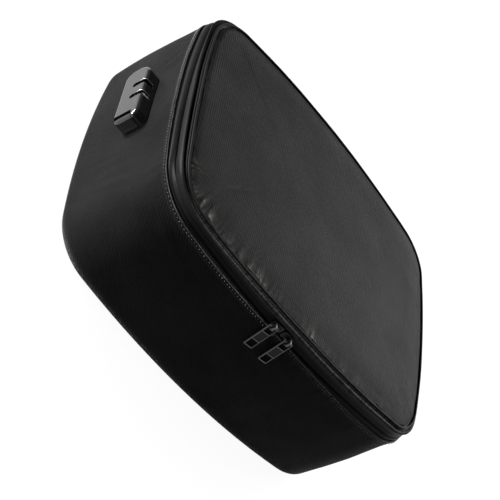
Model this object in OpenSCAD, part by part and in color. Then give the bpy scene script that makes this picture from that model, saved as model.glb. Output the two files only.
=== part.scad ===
// Fireproof document bag: a soft rectangular case that lies on its back, lid up.
// +Z is up, the long side with the zip sliders faces -Y, the lock is on the -X side, and the lid's
// cloth hinge runs along the +Y side. The origin is the centre of the flat base.

/* [Body] */
// Length over the short sides, without their bow
body_l = 358; // [330:1:400]
// Width over the long sides, without their bow
body_w = 268; // [240:1:300]
// Height of the body, from the base to the crease under the zip lips
seam_z = 113.2; // [104:0.1:130]
// Radius of the upright corners
corner_r = 50; // [42:1:60]
// Outward bow of the long sides
bow_long = 12; // [6:0.5:16]
// Outward bow of the short sides
bow_short = 5; // [3:0.5:8]
// Radius of the edge round the base
base_r = 12; // [10:0.5:14]

/* [Walls] */
// Thickness of the outer cloth
cover_t = 1.2; // [1:0.1:1.5]
// Thickness of the stiffening boards
board_t = 1.4; // [1:0.1:2]
// Thickness of the insulation
foam_t = 5; // [4:0.5:7]
// Thickness of the fire resistant liner and of the zip tape
liner_t = 0.8; // [0.6:0.1:1]
// Height of the folded hem round the mouth
hem_h = 5; // [4:0.5:8]
// Thickness of the folded hem
hem_t = 0.6; // [0.4:0.1:0.8]
// Height of the binding that covers the tape's edge inside
binding_h = 12; // [8:1:16]

/* [Zip] */
// Height of the zip's centre line above the crease
zip_rise = 8; // [7.8:0.1:9]
// Depth of the coil's front behind the side of the bag
coil_d = 5.4; // [5.2:0.1:6]
// Depth of a coil half, front to back
coil_t = 2.2; // [1.8:0.1:2.4]
// Height of a coil half
coil_h = 1.9; // [1.6:0.1:2]
// Gap between the two coil halves, where the slider's post runs
coil_gap = 1.4; // [1.2:0.1:1.6]
// Height of a soft lip, from the zip's centre line
lip_h = 6.4; // [6.2:0.1:6.8]
// Depth of the open crease between the body and the lower lip
crease_d = 3.6; // [2.5:0.1:4]
// Length of a zip slider
slider_l = 11.6; // [9:0.2:12]
// Height of a zip slider's plates
slider_h = 6.8; // [6:0.1:7]
// Thickness of a zip slider's front plate
slider_t = 2; // [1.6:0.1:2]
// Where the two sliders meet, along the long side
meet_x = -20.6; // [-60:0.2:60]
// Gap between the noses of the two sliders
nose_gap = 1.4; // [0.4:0.1:2]

/* [Pulls] */
// Length of a zip pull
pull_l = 33.4; // [30:0.2:42]
// Width of a zip pull
pull_w = 9.2; // [8.6:0.1:10]
// Thickness of a zip pull
pull_t = 1.8; // [1.6:0.1:2]
// Width of the frame round a pull
pull_rim = 1.8; // [1.8:0.1:2]
// Length of the hole at each end of a pull
pull_hole_l = 8.4; // [8:0.2:9]
// Lean of the hanging pulls along the bag's side
pull_lean = 12; // [0:1:12]
// Distance of a pull's middle from its slider's middle
pull_offset = 3.6; // [3:0.1:3.6]

/* [Lid] */
// How far the piping lies inside the body's outline
lid_inset = 7.9; // [7.5:0.1:9]
// Radius of the piping cord
piping_r = 1.2; // [1:0.1:1.3]
// Rise of the padded lid above the piping
crown_h = 4; // [3:0.5:8]
// Thickness of the lid's insulation
lid_foam_t = 5; // [3:0.5:5]
// Thickness of the lid's board
lid_board_t = 1.5; // [1:0.1:1.5]

/* [Lock] */
// Length of the lock's casing
lock_l = 71; // [68:0.5:76]
// Width of the lock's casing
lock_w = 26.6; // [26:0.2:30]
// Height of the lock's casing
lock_h = 13.6; // [13.4:0.1:15]
// Wall of the lock's casing
lock_wall = 1.6; // [1.4:0.1:1.8]
// Place of the lock along the short side
lock_y = 3; // [-10:1:10]
// Height of the lock's middle above the base
lock_z = 72.3; // [50:0.1:80]
// Thickness of the gasket under the lock
gasket_t = 0.8; // [0.6:0.1:1.5]
// Thickness of the lock's base plate
plate_t = 1.2; // [1:0.1:1.4]
// Width of a pull slot
slot_w = 2.4; // [2.2:0.1:2.6]
// Distance between the two pull slots
slot_pitch = 16; // [15:0.5:17]
// Travel of the release button
button_travel = 3; // [2.5:0.1:3]
// Radius of a dial
dial_r = 5.2; // [5:0.1:5.3]
// Width of a dial
dial_w = 4.2; // [3.6:0.1:4.4]
// Distance between dials
dial_pitch = 6.5; // [6.2:0.1:6.6]
// Radius of the dial shaft
shaft_r = 1; // [0.9:0.05:1.1]
// Radius of a lock screw
screw_r = 1.5; // [1.4:0.05:1.6]

/* [Hidden] */

touch = 0.1;            // between soft pieces that are sewn together
run_gap = 0.3;          // round a piece that slides
fit_gap = 0.05;         // between a shaft and its bore
side_steps = 12;        // facets along one bowed side
corner_steps = 8;       // facets round one corner
over = 1;               // how far a cut runs past what it cuts
zip_z = seam_z + zip_rise;
lip_clear = 0.4;        // between the upper lip and the piping
piping_z = zip_z + lip_h + 2 * piping_r + lip_clear;
foam_d = cover_t + board_t + foam_t;
liner_d = foam_d + liner_t;
binding_d = liner_d + liner_t;
floor_z = cover_t + board_t + foam_t + liner_t;
tape_drop = 7.2;        // the zip tape starts this far below the crease, where the liner ends
mouth_split_z = seam_z - tape_drop;
coil_back = coil_d + coil_t;
tape_back = coil_back + liner_t;
slider_back_d = tape_back + run_gap;
slider_back_t = 1.3;
slider_front_d = 0.6;
post_h = coil_gap - 0.4;
bail_t = 2;
bail_reach = 5.6;
bail_bar = 1.2;
pull_d = -(hem_t + pull_t / 2 + 0.6);
lid_in_d = slider_back_d + slider_back_t + run_gap;
lid_foam_z = piping_z - piping_r - touch;
lid_board_z = lid_foam_z - lid_foam_t;
lid_liner_z = lid_board_z - lid_board_t;
lid_bottom_z = lid_liner_z - liner_t;

// Outline of the bag
// Each side is a shallow arc that runs into the corner arcs without a kink, so that an outline drawn
// further in keeps the same centres and angles.
corner_x = body_l / 2 - corner_r;
corner_y = body_w / 2 - corner_r;
reach_long = (corner_x * corner_x + bow_long * bow_long) / (2 * bow_long);
reach_short = (corner_y * corner_y + bow_short * bow_short) / (2 * bow_short);
turn_long = asin(corner_x / reach_long);
turn_short = asin(corner_y / reach_short);
arc_y = reach_long + corner_r - body_w / 2 - bow_long;
arc_x = reach_short + corner_r - body_l / 2 - bow_short;
side_x = body_l / 2 + bow_short;
zip_end = 3 * side_steps + 4 * corner_steps;
outline_count = 4 * (side_steps + corner_steps);

function arc(centre, r, a0, a1, steps) =
    [for (i = [0 : steps - 1]) let (a = a0 + (a1 - a0) * i / steps) centre + r * [cos(a), sin(a)]];
// From the left end of the zip, round the front, to its right end, then along the hinge side
function outline(inset) = concat(
    arc([-corner_x, corner_y], corner_r - inset, 90 + turn_long, 180 - turn_short, corner_steps),
    arc([arc_x, 0], reach_short + corner_r - inset, 180 - turn_short, 180 + turn_short, side_steps),
    arc([-corner_x, -corner_y], corner_r - inset, 180 + turn_short, 270 - turn_long, corner_steps),
    arc([0, arc_y], reach_long + corner_r - inset, 270 - turn_long, 270 + turn_long, side_steps),
    arc([corner_x, -corner_y], corner_r - inset, 270 + turn_long, 360 - turn_short, corner_steps),
    arc([-arc_x, 0], reach_short + corner_r - inset, -turn_short, turn_short, side_steps),
    arc([corner_x, corner_y], corner_r - inset, turn_short, 90 - turn_long, corner_steps),
    arc([0, -arc_y], reach_long + corner_r - inset, 90 - turn_long, 90 + turn_long, side_steps));

// A flat slab, and a ring with upright walls between two insets
module slab(inset, z0, z1) {
    translate([0, 0, z0]) linear_extrude(z1 - z0) polygon(outline(inset));
}
module ring(inset_out, inset_in, z0, z1) {
    translate([0, 0, z0]) linear_extrude(z1 - z0) difference() {
        polygon(outline(inset_out));
        polygon(outline(inset_in));
    }
}
// A wedge from the centre of the rear side's arc, between two angles
module rear_wedge(from, to) {
    far = 2 * reach_long;
    translate([0, -arc_y, -over]) linear_extrude(2 * piping_z)
        polygon([[0, 0], far * [cos(from), sin(from)], far * [cos(to), sin(to)]]);
}
// What lies behind the zip's ends, and all the rest
module hinge_part() {
    intersection() {
        children();
        intersection() {
            rear_wedge(90 - turn_long, 90 + turn_long);
            translate([-body_l, 0, -over]) cube([2 * body_l, body_w, 2 * piping_z]);
        }
    }
}
module zip_part() {
    difference() {
        children();
        intersection() {
            rear_wedge(90 - turn_long, 90 + turn_long);
            translate([-body_l, 0, -over]) cube([2 * body_l, body_w, 2 * piping_z]);
        }
    }
}

// A profile of [inset, z] points swept along the outline from point first to point last.
// The sweep closes on itself if it goes all the way round.
module sweep_profile(profile, first = 0, last = outline_count) {
    rings = [for (p = profile) outline(p[0])];
    closed = last - first >= outline_count;
    count = closed ? outline_count : last - first + 1;
    m = len(profile);
    points = [for (i = [0 : count - 1]) for (j = [0 : m - 1])
        let (q = rings[j][(first + i) % outline_count]) [q[0], q[1], profile[j][1]]];
    walls = [for (i = [0 : (closed ? count : count - 1) - 1]) for (j = [0 : m - 1])
        let (k = (i + 1) % count, n = (j + 1) % m) [i * m + j, i * m + n, k * m + n, k * m + j]];
    ends = closed ? [] : [
        [for (j = [0 : m - 1]) m - 1 - j],
        [for (j = [0 : m - 1]) (count - 1) * m + j]];
    polyhedron(points, concat(walls, ends), convexity = 8);
}
// A closed solid over a list of level rings [inset, z, share], from its lower cap to its upper cap
module stack_rings(levels) {
    m = outline_count;
    points = [for (l = levels) for (q = outline(l[0])) [q[0] * l[2], q[1] * l[2], l[1]]];
    walls = [for (i = [0 : len(levels) - 2]) for (j = [0 : m - 1])
        let (n = (j + 1) % m) [i * m + j, (i + 1) * m + j, (i + 1) * m + n, i * m + n]];
    caps = [[for (j = [0 : m - 1]) j], [for (j = [0 : m - 1]) len(levels) * m - 1 - j]];
    polyhedron(points, concat(walls, caps), convexity = 8);
}

// Colours
cloth = [0.13, 0.13, 0.135];
lid_cloth = [0.24, 0.24, 0.245];
dark_metal = [0.1, 0.1, 0.11];
casing_grey = [0.34, 0.34, 0.35];
foam_grey = [0.45, 0.45, 0.46];
glass_cloth = [0.72, 0.72, 0.7];
board_brown = [0.55, 0.42, 0.28];
steel = [0.66, 0.67, 0.69];

// Body
module base_cover() {
    color(cloth) slab(base_r, 0, cover_t);
}
module side_cover() {
    inner_r = base_r - cover_t;
    outer = [for (a = [0 : 22.5 : 90]) [base_r * (1 - cos(a)), base_r * (1 - sin(a))]];
    inner = [for (a = [90 : -22.5 : 0]) [base_r - inner_r * cos(a), base_r - inner_r * sin(a)]];
    color(cloth) difference() {
        sweep_profile(concat([[0, seam_z]], outer, inner, [[cover_t, seam_z]]));
        screw_holes();
    }
}
module mouth_hem() {
    color(cloth) ring(-hem_t, 0, seam_z - hem_h, seam_z);
}
module base_board() {
    color(board_brown) slab(base_r, cover_t, cover_t + board_t);
}
module wall_board() {
    ring(cover_t, cover_t + board_t, base_r, seam_z - hem_h);
}
module front_board() {
    color(board_brown) intersection() {
        wall_board();
        translate([-corner_x, -body_w, 0]) cube([2 * corner_x, body_w, seam_z]);
    }
}
module rear_board() {
    color(board_brown) intersection() {
        wall_board();
        translate([-corner_x, 0, 0]) cube([2 * corner_x, body_w, seam_z]);
    }
}
module left_board() {
    color(board_brown) difference() {
        intersection() {
            wall_board();
            translate([-body_l, -corner_y, 0]) cube([body_l, 2 * corner_y, seam_z]);
        }
        screw_holes();
    }
}
module right_board() {
    color(board_brown) intersection() {
        wall_board();
        translate([0, -corner_y, 0]) cube([body_l, 2 * corner_y, seam_z]);
    }
}
module base_insulation() {
    color(foam_grey) slab(foam_d, cover_t + board_t, floor_z - liner_t);
}
module wall_insulation() {
    color(foam_grey) difference() {
        ring(cover_t + board_t, foam_d, floor_z - liner_t, seam_z);
        screw_holes();
    }
}
module base_liner() {
    color(glass_cloth) slab(foam_d, floor_z - liner_t, floor_z);
}
module wall_liner() {
    color(glass_cloth) difference() {
        ring(foam_d, liner_d, floor_z, mouth_split_z);
        screw_holes();
    }
}
module mouth_binding() {
    color(cloth) ring(liner_d, binding_d, seam_z - binding_h, seam_z - 0.2);
}

// Zip, body side: the lip is rolled cloth that covers the coil from outside
module lower_zip_lip() {
    z = function (rise) zip_z - rise;
    color(cloth) sweep_profile([
        [2.2, z(lip_h)], [1.2, z(lip_h - 0.7)], [1, z(lip_h - 1.6)], [1.5, z(slider_h / 2 + 0.7)],
        [2.9, z(slider_h / 2 + run_gap)], [3.4, z(2.2)], [4.2, z(1)], [coil_d - touch, z(0.8)],
        [coil_d - touch, z(coil_gap / 2 + coil_h + touch)],
        [coil_back - touch, z(coil_gap / 2 + coil_h + touch)],
        [coil_back - touch, z(zip_rise - touch)], [crease_d, z(zip_rise - touch)],
        [crease_d, z(lip_h)]
    ], 0, zip_end);
}
module lower_zip_tape() {
    color(cloth) zip_part() ring(coil_back, tape_back, mouth_split_z, zip_z - coil_gap / 2);
}
module lower_zip_coil() {
    color(dark_metal) zip_part()
        ring(coil_d, coil_back, zip_z - coil_gap / 2 - coil_h, zip_z - coil_gap / 2);
}
module zip_end_stops() {
    stop_l = 2.5;
    stop_in = 0.4;
    half_h = coil_gap / 2 + coil_h;
    per_length = 180 / PI / (reach_long + corner_r);
    near = turn_long - run_gap * per_length;
    far = near - stop_l * per_length;
    color(steel) for (side = [-1, 1]) intersection() {
        ring(coil_d + stop_in, coil_back, zip_z - half_h, zip_z + half_h);
        rear_wedge(90 + side * near, 90 + side * far);
        translate([-body_l, 0, 0]) cube([2 * body_l, body_w, 2 * zip_z]);
    }
}

// Cloth hinge along the rear, between the ends of the zip
module hinge_cloth() {
    low = seam_z + touch;
    high = piping_z - piping_r - touch;
    color(cloth) sweep_profile([
        [0.8, low], [1.6, low + 6], [lid_inset - 2, high], [lid_inset - 1, high],
        [2.6, low + 6], [1.8, low]
    ], zip_end, outline_count);
}
module hinge_liner() {
    color(glass_cloth) hinge_part()
        ring(foam_d, liner_d, mouth_split_z, piping_z - piping_r - touch);
}

// Lid
lid_edge_d = lid_inset + piping_r + touch;
crown_in = 12;
crown_levels = [[0, -piping_r, 1], [0, -piping_r / 6, 1], [0.1 * crown_in, 0.28 * crown_h, 1],
    [0.375 * crown_in, 0.55 * crown_h, 1], [crown_in, 0.78 * crown_h, 1],
    [crown_in, 0.93 * crown_h, 0.82], [crown_in, crown_h, 0.5]];
module lid_cover() {
    top = [for (l = crown_levels) [lid_edge_d + l[0], piping_z + l[1], l[2]]];
    under = [for (i = [len(crown_levels) - 1 : -1 : 0]) let (l = crown_levels[i])
        [lid_edge_d + l[0] + (i < 4 ? cover_t * (1 - i / 8) : cover_t / 2),
         i == 0 ? piping_z + l[1] : piping_z + l[1] - cover_t * i / 6, l[2]]];
    color(lid_cloth) stack_rings(concat(under, top));
}
module lid_pad() {
    levels = [for (i = [0 : len(crown_levels) - 1]) let (l = crown_levels[i])
        [lid_edge_d + l[0] + (i < 4 ? cover_t * (1 - i / 8) : cover_t / 2),
         i == 0 ? piping_z + l[1] : piping_z + l[1] - cover_t * i / 6 - touch / 2, l[2]]];
    color(foam_grey) stack_rings([for (l = levels) [l[0] + touch, l[1], l[2]]]);
}
module lid_insulation() {
    color(foam_grey) slab(lid_in_d, lid_board_z, lid_foam_z);
}
module lid_board() {
    color(board_brown) slab(lid_in_d, lid_liner_z, lid_board_z);
}
module lid_liner() {
    color(glass_cloth) slab(lid_in_d, lid_bottom_z, lid_liner_z);
}
module lid_rim() {
    color(foam_grey) ring(tape_back, lid_in_d, zip_z + slider_h / 2 + 2 * run_gap, lid_foam_z);
}
module lid_piping() {
    sides = 8;
    color(cloth) sweep_profile([for (k = [0 : sides - 1]) let (a = 360 * k / sides)
        [lid_inset - piping_r * cos(a), piping_z - piping_r * sin(a)]]);
}
module upper_zip_lip() {
    z = function (rise) zip_z + rise;
    top = piping_z - piping_r - zip_z - touch;
    color(cloth) sweep_profile([
        [lid_inset - 1.4, z(lip_h)], [lid_inset - 1.4, z(top)], [coil_back - touch, z(top)],
        [coil_back - touch, z(coil_gap / 2 + coil_h + touch)],
        [coil_d - touch, z(coil_gap / 2 + coil_h + touch)], [coil_d - touch, z(0.8)], [4.2, z(1)],
        [3.5, z(2.2)], [3.1, z(slider_h / 2)], [2.8, z(lip_h - 1.8)], [3.2, z(lip_h - 0.7)],
        [4.4, z(lip_h)]
    ], 0, zip_end);
}
module upper_zip_tape() {
    color(cloth) zip_part()
        ring(coil_back, tape_back, zip_z + coil_gap / 2, piping_z - piping_r - touch);
}
module upper_zip_coil() {
    color(dark_metal) zip_part()
        ring(coil_d, coil_back, zip_z + coil_gap / 2, zip_z + coil_gap / 2 + coil_h);
}

// Sliders and pulls
// They are drawn at the middle of the front and turned along its arc to their place. In the drawing, X
// runs along the zip, Y inwards from the side of the bag, and Z up from the zip's centre line.
slider_x = (slider_l + nose_gap) / 2;
module along_front(x) {
    translate([0, arc_y, zip_z]) rotate([0, 0, asin((meet_x + x) / (reach_long + corner_r))])
        translate([0, -(reach_long + corner_r), 0]) children();
}
module slider_plate(depth, thick, tail_h) {
    half = slider_l / 2;
    translate([0, depth + thick, 0]) rotate([90, 0, 0]) linear_extrude(thick)
        polygon([[-half, -tail_h / 2], [0, -slider_h / 2], [half - 1.5, -slider_h / 2],
            [half, -slider_h / 2 + 1.5], [half, slider_h / 2 - 1.5], [half - 1.5, slider_h / 2],
            [0, slider_h / 2], [-half, tail_h / 2]]);
}
module slider() {
    tail_h = 0.7 * slider_h;
    bail_h = slider_h - 1.2;
    color(dark_metal) {
        slider_plate(slider_front_d, slider_t, tail_h);
        slider_plate(slider_back_d, slider_back_t, tail_h);
        translate([slider_l / 2 - 3, slider_front_d + slider_t - 0.2, -post_h / 2])
            cube([2.2, slider_back_d - slider_front_d - slider_t + 0.4, post_h]);
        translate([-pull_offset - bail_t / 2, slider_front_d - bail_reach, 0]) difference() {
            translate([0, 0, -bail_h / 2]) cube([bail_t, bail_reach + 0.2, bail_h]);
            translate([-over, bail_bar, -bail_h / 2 + bail_bar])
                cube([bail_t + 2 * over, bail_reach - bail_bar, bail_h - 2 * bail_bar]);
        }
    }
}
module pull() {
    end = pull_l - pull_rim / 2;
    panel_l = pull_l - 2 * pull_hole_l - 2 * pull_rim;
    color(dark_metal) rotate([90, 0, 0]) rotate([0, 0, pull_lean]) difference() {
        translate([-pull_w / 2, -end, -pull_t / 2]) cube([pull_w, pull_l, pull_t]);
        for (y = [-pull_rim / 2 - pull_hole_l, -end + pull_rim])
            translate([-pull_w / 2 + pull_rim, y, -pull_t])
                cube([pull_w - 2 * pull_rim, pull_hole_l, 2 * pull_t]);
        for (z = [-pull_t, pull_t / 2 - 0.3])
            translate([-pull_w / 2 + pull_rim, -pull_rim / 2 - pull_hole_l - panel_l + pull_rim / 2, z])
                cube([pull_w - 2 * pull_rim, panel_l - pull_rim, pull_t / 2 + 0.3]);
    }
}
module slider_left() {
    along_front(-slider_x) slider();
}
module slider_right() {
    along_front(slider_x) mirror([1, 0, 0]) slider();
}
module pull_left() {
    along_front(-slider_x) translate([-pull_offset, pull_d, 0]) pull();
}
module pull_right() {
    along_front(slider_x) translate([pull_offset, pull_d, 0]) pull();
}

// Lock
// It is drawn lying flat, X along it towards the release button, Y towards the lid, and Z out of the
// bag from the side's outermost line.
module at_lock() {
    translate([-side_x, lock_y, lock_z]) rotate([90, 0, -90]) children();
}
casing_z = gasket_t;
casing_top = casing_z + lock_h;
plate_z = gasket_t + plate_t;
ceiling_z = casing_top - lock_wall;
round_r = 11;
square_r = 6;
edge_r = 3.5;
button_l = 13.2;
button_side = 6.6;
button_x = lock_l / 2 - button_l;
button_z = 5.4;
round_x = -lock_l / 2;
slot_to_button = 16.3;
slots_x = [button_x - slot_to_button - slot_pitch, button_x - slot_to_button];
slot_in_y = 2.3;
pit_r = 1.8;
thumb_r = 14;
thumb_d = 1.2;
thumb_w = 4.2;
bar_z = plate_z + run_gap;
bar_t = 1.5;
bar_w = 6.2;
shoe_l = 6;
ear_t = 1.2;
post_t = 2.4;
pin_y = lock_w / 2 - 7.4;
bar_y = pin_y - bar_w - 0.9;
pin_z = bar_z + bar_t + 4.4;
pin_r = 1;
dial_y = -lock_w / 2 - 0.9 + dial_r;
dial_z = plate_z + 0.2 + dial_r;
dial_in = 13.5;
dials_x = [for (k = [0 : 2]) round_x + dial_in + k * dial_pitch];
bulkhead_t = 1.6;
hub_l = (dial_pitch - dial_w - run_gap) / 2;
bulkheads_x = [dials_x[0] - dial_w / 2 - hub_l - run_gap - bulkhead_t,
    dials_x[2] + dial_w / 2 + hub_l + run_gap];
spring_x0 = round_x + lock_wall + 0.9;
spring_x1 = round_x + 9.5;
spring_y = bar_y + 2.4;
spring_r = 1.3;
spring_wire = 0.4;
boss_r = 2.6;
screw_in = 4.3;
screw_x = button_x - 7.5;
screws = [[spring_x1, lock_w / 2 - screw_in - 0.4], [screw_x, lock_w / 2 - screw_in],
    [screw_x, screw_in - lock_w / 2]];
liner_side = side_x - liner_d;
backing_t = 1.5;
backing_x = liner_side - pow(lock_l / 2 - 2, 2) / (2 * reach_short) - 0.3;

module corner_post(r, edge, height) {
    rotate_extrude($fn = 32) union() {
        square([r, height - edge]);
        square([r - edge, height]);
        translate([r - edge, height - edge]) intersection() {
            circle(edge, $fn = 24);
            square(edge);
        }
    }
}
module casing_form(shrink, height) {
    edge = max(edge_r - shrink, 0.8);
    hull() {
        for (side = [-1, 1]) {
            translate([-lock_l / 2 + round_r, side * (lock_w / 2 - round_r), 0])
                corner_post(round_r - shrink, edge, height);
            translate([lock_l / 2 - square_r, side * (lock_w / 2 - square_r), 0])
                corner_post(square_r - shrink, edge, height);
        }
    }
}
module button_room(gap) {
    translate([button_x - gap, -lock_w, button_z - min(gap, run_gap)])
        cube([lock_l, lock_w + button_side + min(gap, run_gap), lock_h]);
}
module lock_casing() {
    color(casing_grey) at_lock() difference() {
        union() {
            difference() {
                translate([0, 0, casing_z]) casing_form(0, lock_h);
                translate([0, 0, casing_z - over])
                    casing_form(lock_wall, lock_h - lock_wall + over);
            }
            for (p = screws)
                translate([p[0], p[1], plate_z]) cylinder(r = boss_r, h = ceiling_z - plate_z + 0.2,
                    $fn = 48);
            for (x = bulkheads_x)
                translate([x, -lock_w / 2 + lock_wall / 2, dial_z - 2.4])
                    cube([bulkhead_t, dial_y + dial_r + 2 * run_gap + 0.6 + lock_w / 2 - lock_wall / 2,
                        ceiling_z - dial_z + 2.6]);
            translate([round_x + lock_wall / 2, spring_y - 2, bar_z])
                cube([spring_x0 - round_x - lock_wall / 2, 4, ceiling_z - bar_z + 0.2]);
        }
        for (x = slots_x) {
            translate([x - slot_w / 2, slot_in_y, bar_z + bar_t + run_gap])
                cube([slot_w, lock_w, lock_h]);
            translate([x, slot_in_y, ceiling_z - over]) cylinder(r = pit_r, h = lock_h, $fn = 32);
        }
        for (x = dials_x)
            translate([x - dial_w / 2 - run_gap, -lock_w, dial_z - dial_r - 0.1])
                cube([dial_w + 2 * run_gap, lock_w / 2 + lock_wall + 1, 2 * dial_r + 0.2]);
        button_room(button_travel + run_gap);
        translate([bulkheads_x[0] - over, dial_y, dial_z]) rotate([0, 90, 0])
            cylinder(r = shaft_r + fit_gap, h = bulkheads_x[1] - bulkheads_x[0] + bulkhead_t + 2 * over,
                $fn = 48);
        for (p = screws)
            translate([p[0], p[1], 0]) cylinder(r = screw_r + fit_gap, h = ceiling_z - 1, $fn = 48);
    }
}
module lock_gasket() {
    color(cloth) difference() {
        at_lock() translate([0, 0, -6]) linear_extrude(6 + gasket_t) projection()
            casing_form(0.6, 6);
        slab(0, lock_z - lock_w, lock_z + lock_w);
        screw_holes();
    }
}
module lock_base_plate() {
    color(steel) at_lock() difference() {
        translate([0, 0, gasket_t]) linear_extrude(plate_t) projection()
            casing_form(lock_wall + touch, 6);
        for (p = screws)
            translate([p[0], p[1], 0]) cylinder(r = screw_r + 0.2, h = 2 * plate_z, $fn = 48);
    }
}
module screw_holes() {
    at_lock() for (p = screws)
        translate([p[0], p[1], -2 * liner_d]) cylinder(r = screw_r + 0.2, h = 3 * liner_d, $fn = 48);
}
module lock_backing_plate() {
    color(steel) difference() {
        translate([-backing_x, lock_y - lock_l / 2 + 2, lock_z - lock_w / 2 + 1])
            cube([backing_t, lock_l - 4, lock_w - 2]);
        screw_holes();
    }
}
module lock_screws() {
    start = backing_x - backing_t - side_x;
    color(steel) at_lock() for (p = screws) translate([p[0], p[1], start]) {
        difference() {
            translate([0, 0, -1.6]) cylinder(r = 2.8, h = 1.6, $fn = 48);
            translate([0, 0, -2]) cylinder(r = 1.4, h = 1.3, $fn = 6);
        }
        cylinder(r = screw_r, h = ceiling_z - 2 - start, $fn = 48);
    }
}
module release_button() {
    color(casing_grey) at_lock() difference() {
        intersection() {
            translate([0, 0, casing_z]) casing_form(0, lock_h);
            button_room(0);
        }
        translate([button_x + 0.48 * button_l, -0.2 * lock_w, casing_top + thumb_r - thumb_d])
            rotate([0, 90, 0]) cylinder(r = thumb_r, h = thumb_w, center = true, $fn = 96);
    }
}
// The bar starts at the spring's ear and ends in a shoe under the button. A pin on a post crosses
// each slot.
module latch_bar() {
    start = spring_x1 + 0.4;
    shoe_x = button_x + 2;
    color(steel) at_lock() {
        translate([start, bar_y, bar_z]) cube([shoe_x + shoe_l - start, bar_w, bar_t]);
        translate([shoe_x, bar_y + 0.2, bar_z]) cube([shoe_l, bar_w - 0.4, button_z - bar_z - touch / 2]);
        translate([start, spring_y - spring_r - 0.5, bar_z]) cube([ear_t, 2 * spring_r + 1, 4.2]);
        for (x = slots_x) {
            translate([x - slot_w / 2 - 0.7 - post_t, pin_y - 3.3, bar_z])
                cube([post_t, 5, pin_z - bar_z + 2 * pin_r]);
            translate([x - slot_w / 2 - 0.9, pin_y, pin_z]) rotate([0, 90, 0])
                cylinder(r = pin_r, h = slot_w + 1.2, $fn = 32);
        }
    }
}
module latch_spring() {
    color(steel) at_lock() translate([spring_x0 + touch, spring_y, bar_z + 2.1]) rotate([0, 90, 0])
        difference() {
            cylinder(r = spring_r, h = spring_x1 + 0.4 - spring_x0 - 2 * touch, $fn = 32);
            translate([0, 0, -over]) cylinder(r = spring_r - spring_wire, h = lock_l, $fn = 32);
        }
}
module dial_shaft() {
    color(steel) at_lock() translate([bulkheads_x[0] - 0.8, dial_y, dial_z]) rotate([0, 90, 0])
        cylinder(r = shaft_r, h = bulkheads_x[1] - bulkheads_x[0] + bulkhead_t + 1.6, $fn = 48);
}
module dial_detent_spring() {
    color(steel) at_lock()
        translate([bulkheads_x[0] + bulkhead_t + touch, dial_y + dial_r + run_gap, dial_z - 2])
            cube([bulkheads_x[1] - bulkheads_x[0] - bulkhead_t - 2 * touch, 0.4, 4]);
}
module dial(x) {
    flute_r = 0.5;
    color(dark_metal) at_lock() translate([x - dial_w / 2, dial_y, dial_z]) rotate([0, 90, 0])
        difference() {
            union() {
                cylinder(r = dial_r, h = dial_w, $fn = 96);
                translate([0, 0, -hub_l]) cylinder(r = shaft_r + 1.4, h = dial_w + 2 * hub_l, $fn = 48);
            }
            translate([0, 0, -dial_pitch]) cylinder(r = shaft_r + fit_gap, h = 3 * dial_pitch, $fn = 48);
            for (k = [0 : 9]) rotate([0, 0, 36 * k]) translate([dial_r + 0.15, 0, -over])
                cylinder(r = flute_r, h = 2 * dial_w, $fn = 16);
        }
}
module dial_1() {
    dial(dials_x[0]);
}
module dial_2() {
    dial(dials_x[1]);
}
module dial_3() {
    dial(dials_x[2]);
}

base_cover();
side_cover();
mouth_hem();
base_board();
front_board();
rear_board();
left_board();
right_board();
base_insulation();
wall_insulation();
base_liner();
wall_liner();
mouth_binding();
lower_zip_lip();
lower_zip_tape();
lower_zip_coil();
zip_end_stops();
hinge_cloth();
hinge_liner();
lid_cover();
lid_pad();
lid_insulation();
lid_board();
lid_liner();
lid_rim();
lid_piping();
upper_zip_lip();
upper_zip_tape();
upper_zip_coil();
slider_left();
slider_right();
pull_left();
pull_right();
lock_casing();
lock_gasket();
lock_base_plate();
lock_backing_plate();
lock_screws();
release_button();
latch_bar();
latch_spring();
dial_shaft();
dial_detent_spring();
dial_1();
dial_2();
dial_3();
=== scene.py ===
# %% [markdown]
# # A fireproof document bag, dressed over its construction
# The construction is a fixed frame of named nodes: walls, boards, zip, lock and lid, each in its
# place and in metres. This lesson keeps that frame and gives every piece the look of the real thing:
# coated cloth, soft zip lips, piping, a padded lid, black metal and satin plastic. Such a bag is sewn
# from long bands of cloth that run round one outline, so most of the lesson turns on one idea: draw a
# small profile once, then spin it round the outline's arcs.

# %% Load the frame
import math

import bpy
import numpy as np
from mathutils import Matrix, Vector, noise


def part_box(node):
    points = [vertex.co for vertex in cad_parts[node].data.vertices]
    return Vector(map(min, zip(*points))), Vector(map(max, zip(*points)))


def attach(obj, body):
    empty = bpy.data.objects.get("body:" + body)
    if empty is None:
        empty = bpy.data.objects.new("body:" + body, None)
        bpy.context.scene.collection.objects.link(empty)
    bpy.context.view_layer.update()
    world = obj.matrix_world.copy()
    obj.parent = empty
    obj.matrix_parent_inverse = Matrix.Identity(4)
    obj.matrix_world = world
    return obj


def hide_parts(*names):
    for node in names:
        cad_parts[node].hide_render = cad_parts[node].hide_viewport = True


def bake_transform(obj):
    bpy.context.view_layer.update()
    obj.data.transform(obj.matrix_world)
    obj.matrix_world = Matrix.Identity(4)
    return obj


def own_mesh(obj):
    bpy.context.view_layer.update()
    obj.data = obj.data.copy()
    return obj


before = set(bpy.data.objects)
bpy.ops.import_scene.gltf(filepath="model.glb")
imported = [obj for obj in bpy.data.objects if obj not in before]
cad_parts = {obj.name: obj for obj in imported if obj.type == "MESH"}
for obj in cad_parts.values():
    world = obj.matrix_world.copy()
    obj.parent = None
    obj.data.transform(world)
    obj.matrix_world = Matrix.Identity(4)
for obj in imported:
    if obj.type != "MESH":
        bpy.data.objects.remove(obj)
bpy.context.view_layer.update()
mm = 0.001


# %% [markdown]
# ## Working on one piece at a time
# An operator acts on everything that is selected, and the loaded nodes start out selected. So each
# new piece begins with nothing selected, and small helpers switch between object and edit mode.

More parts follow.
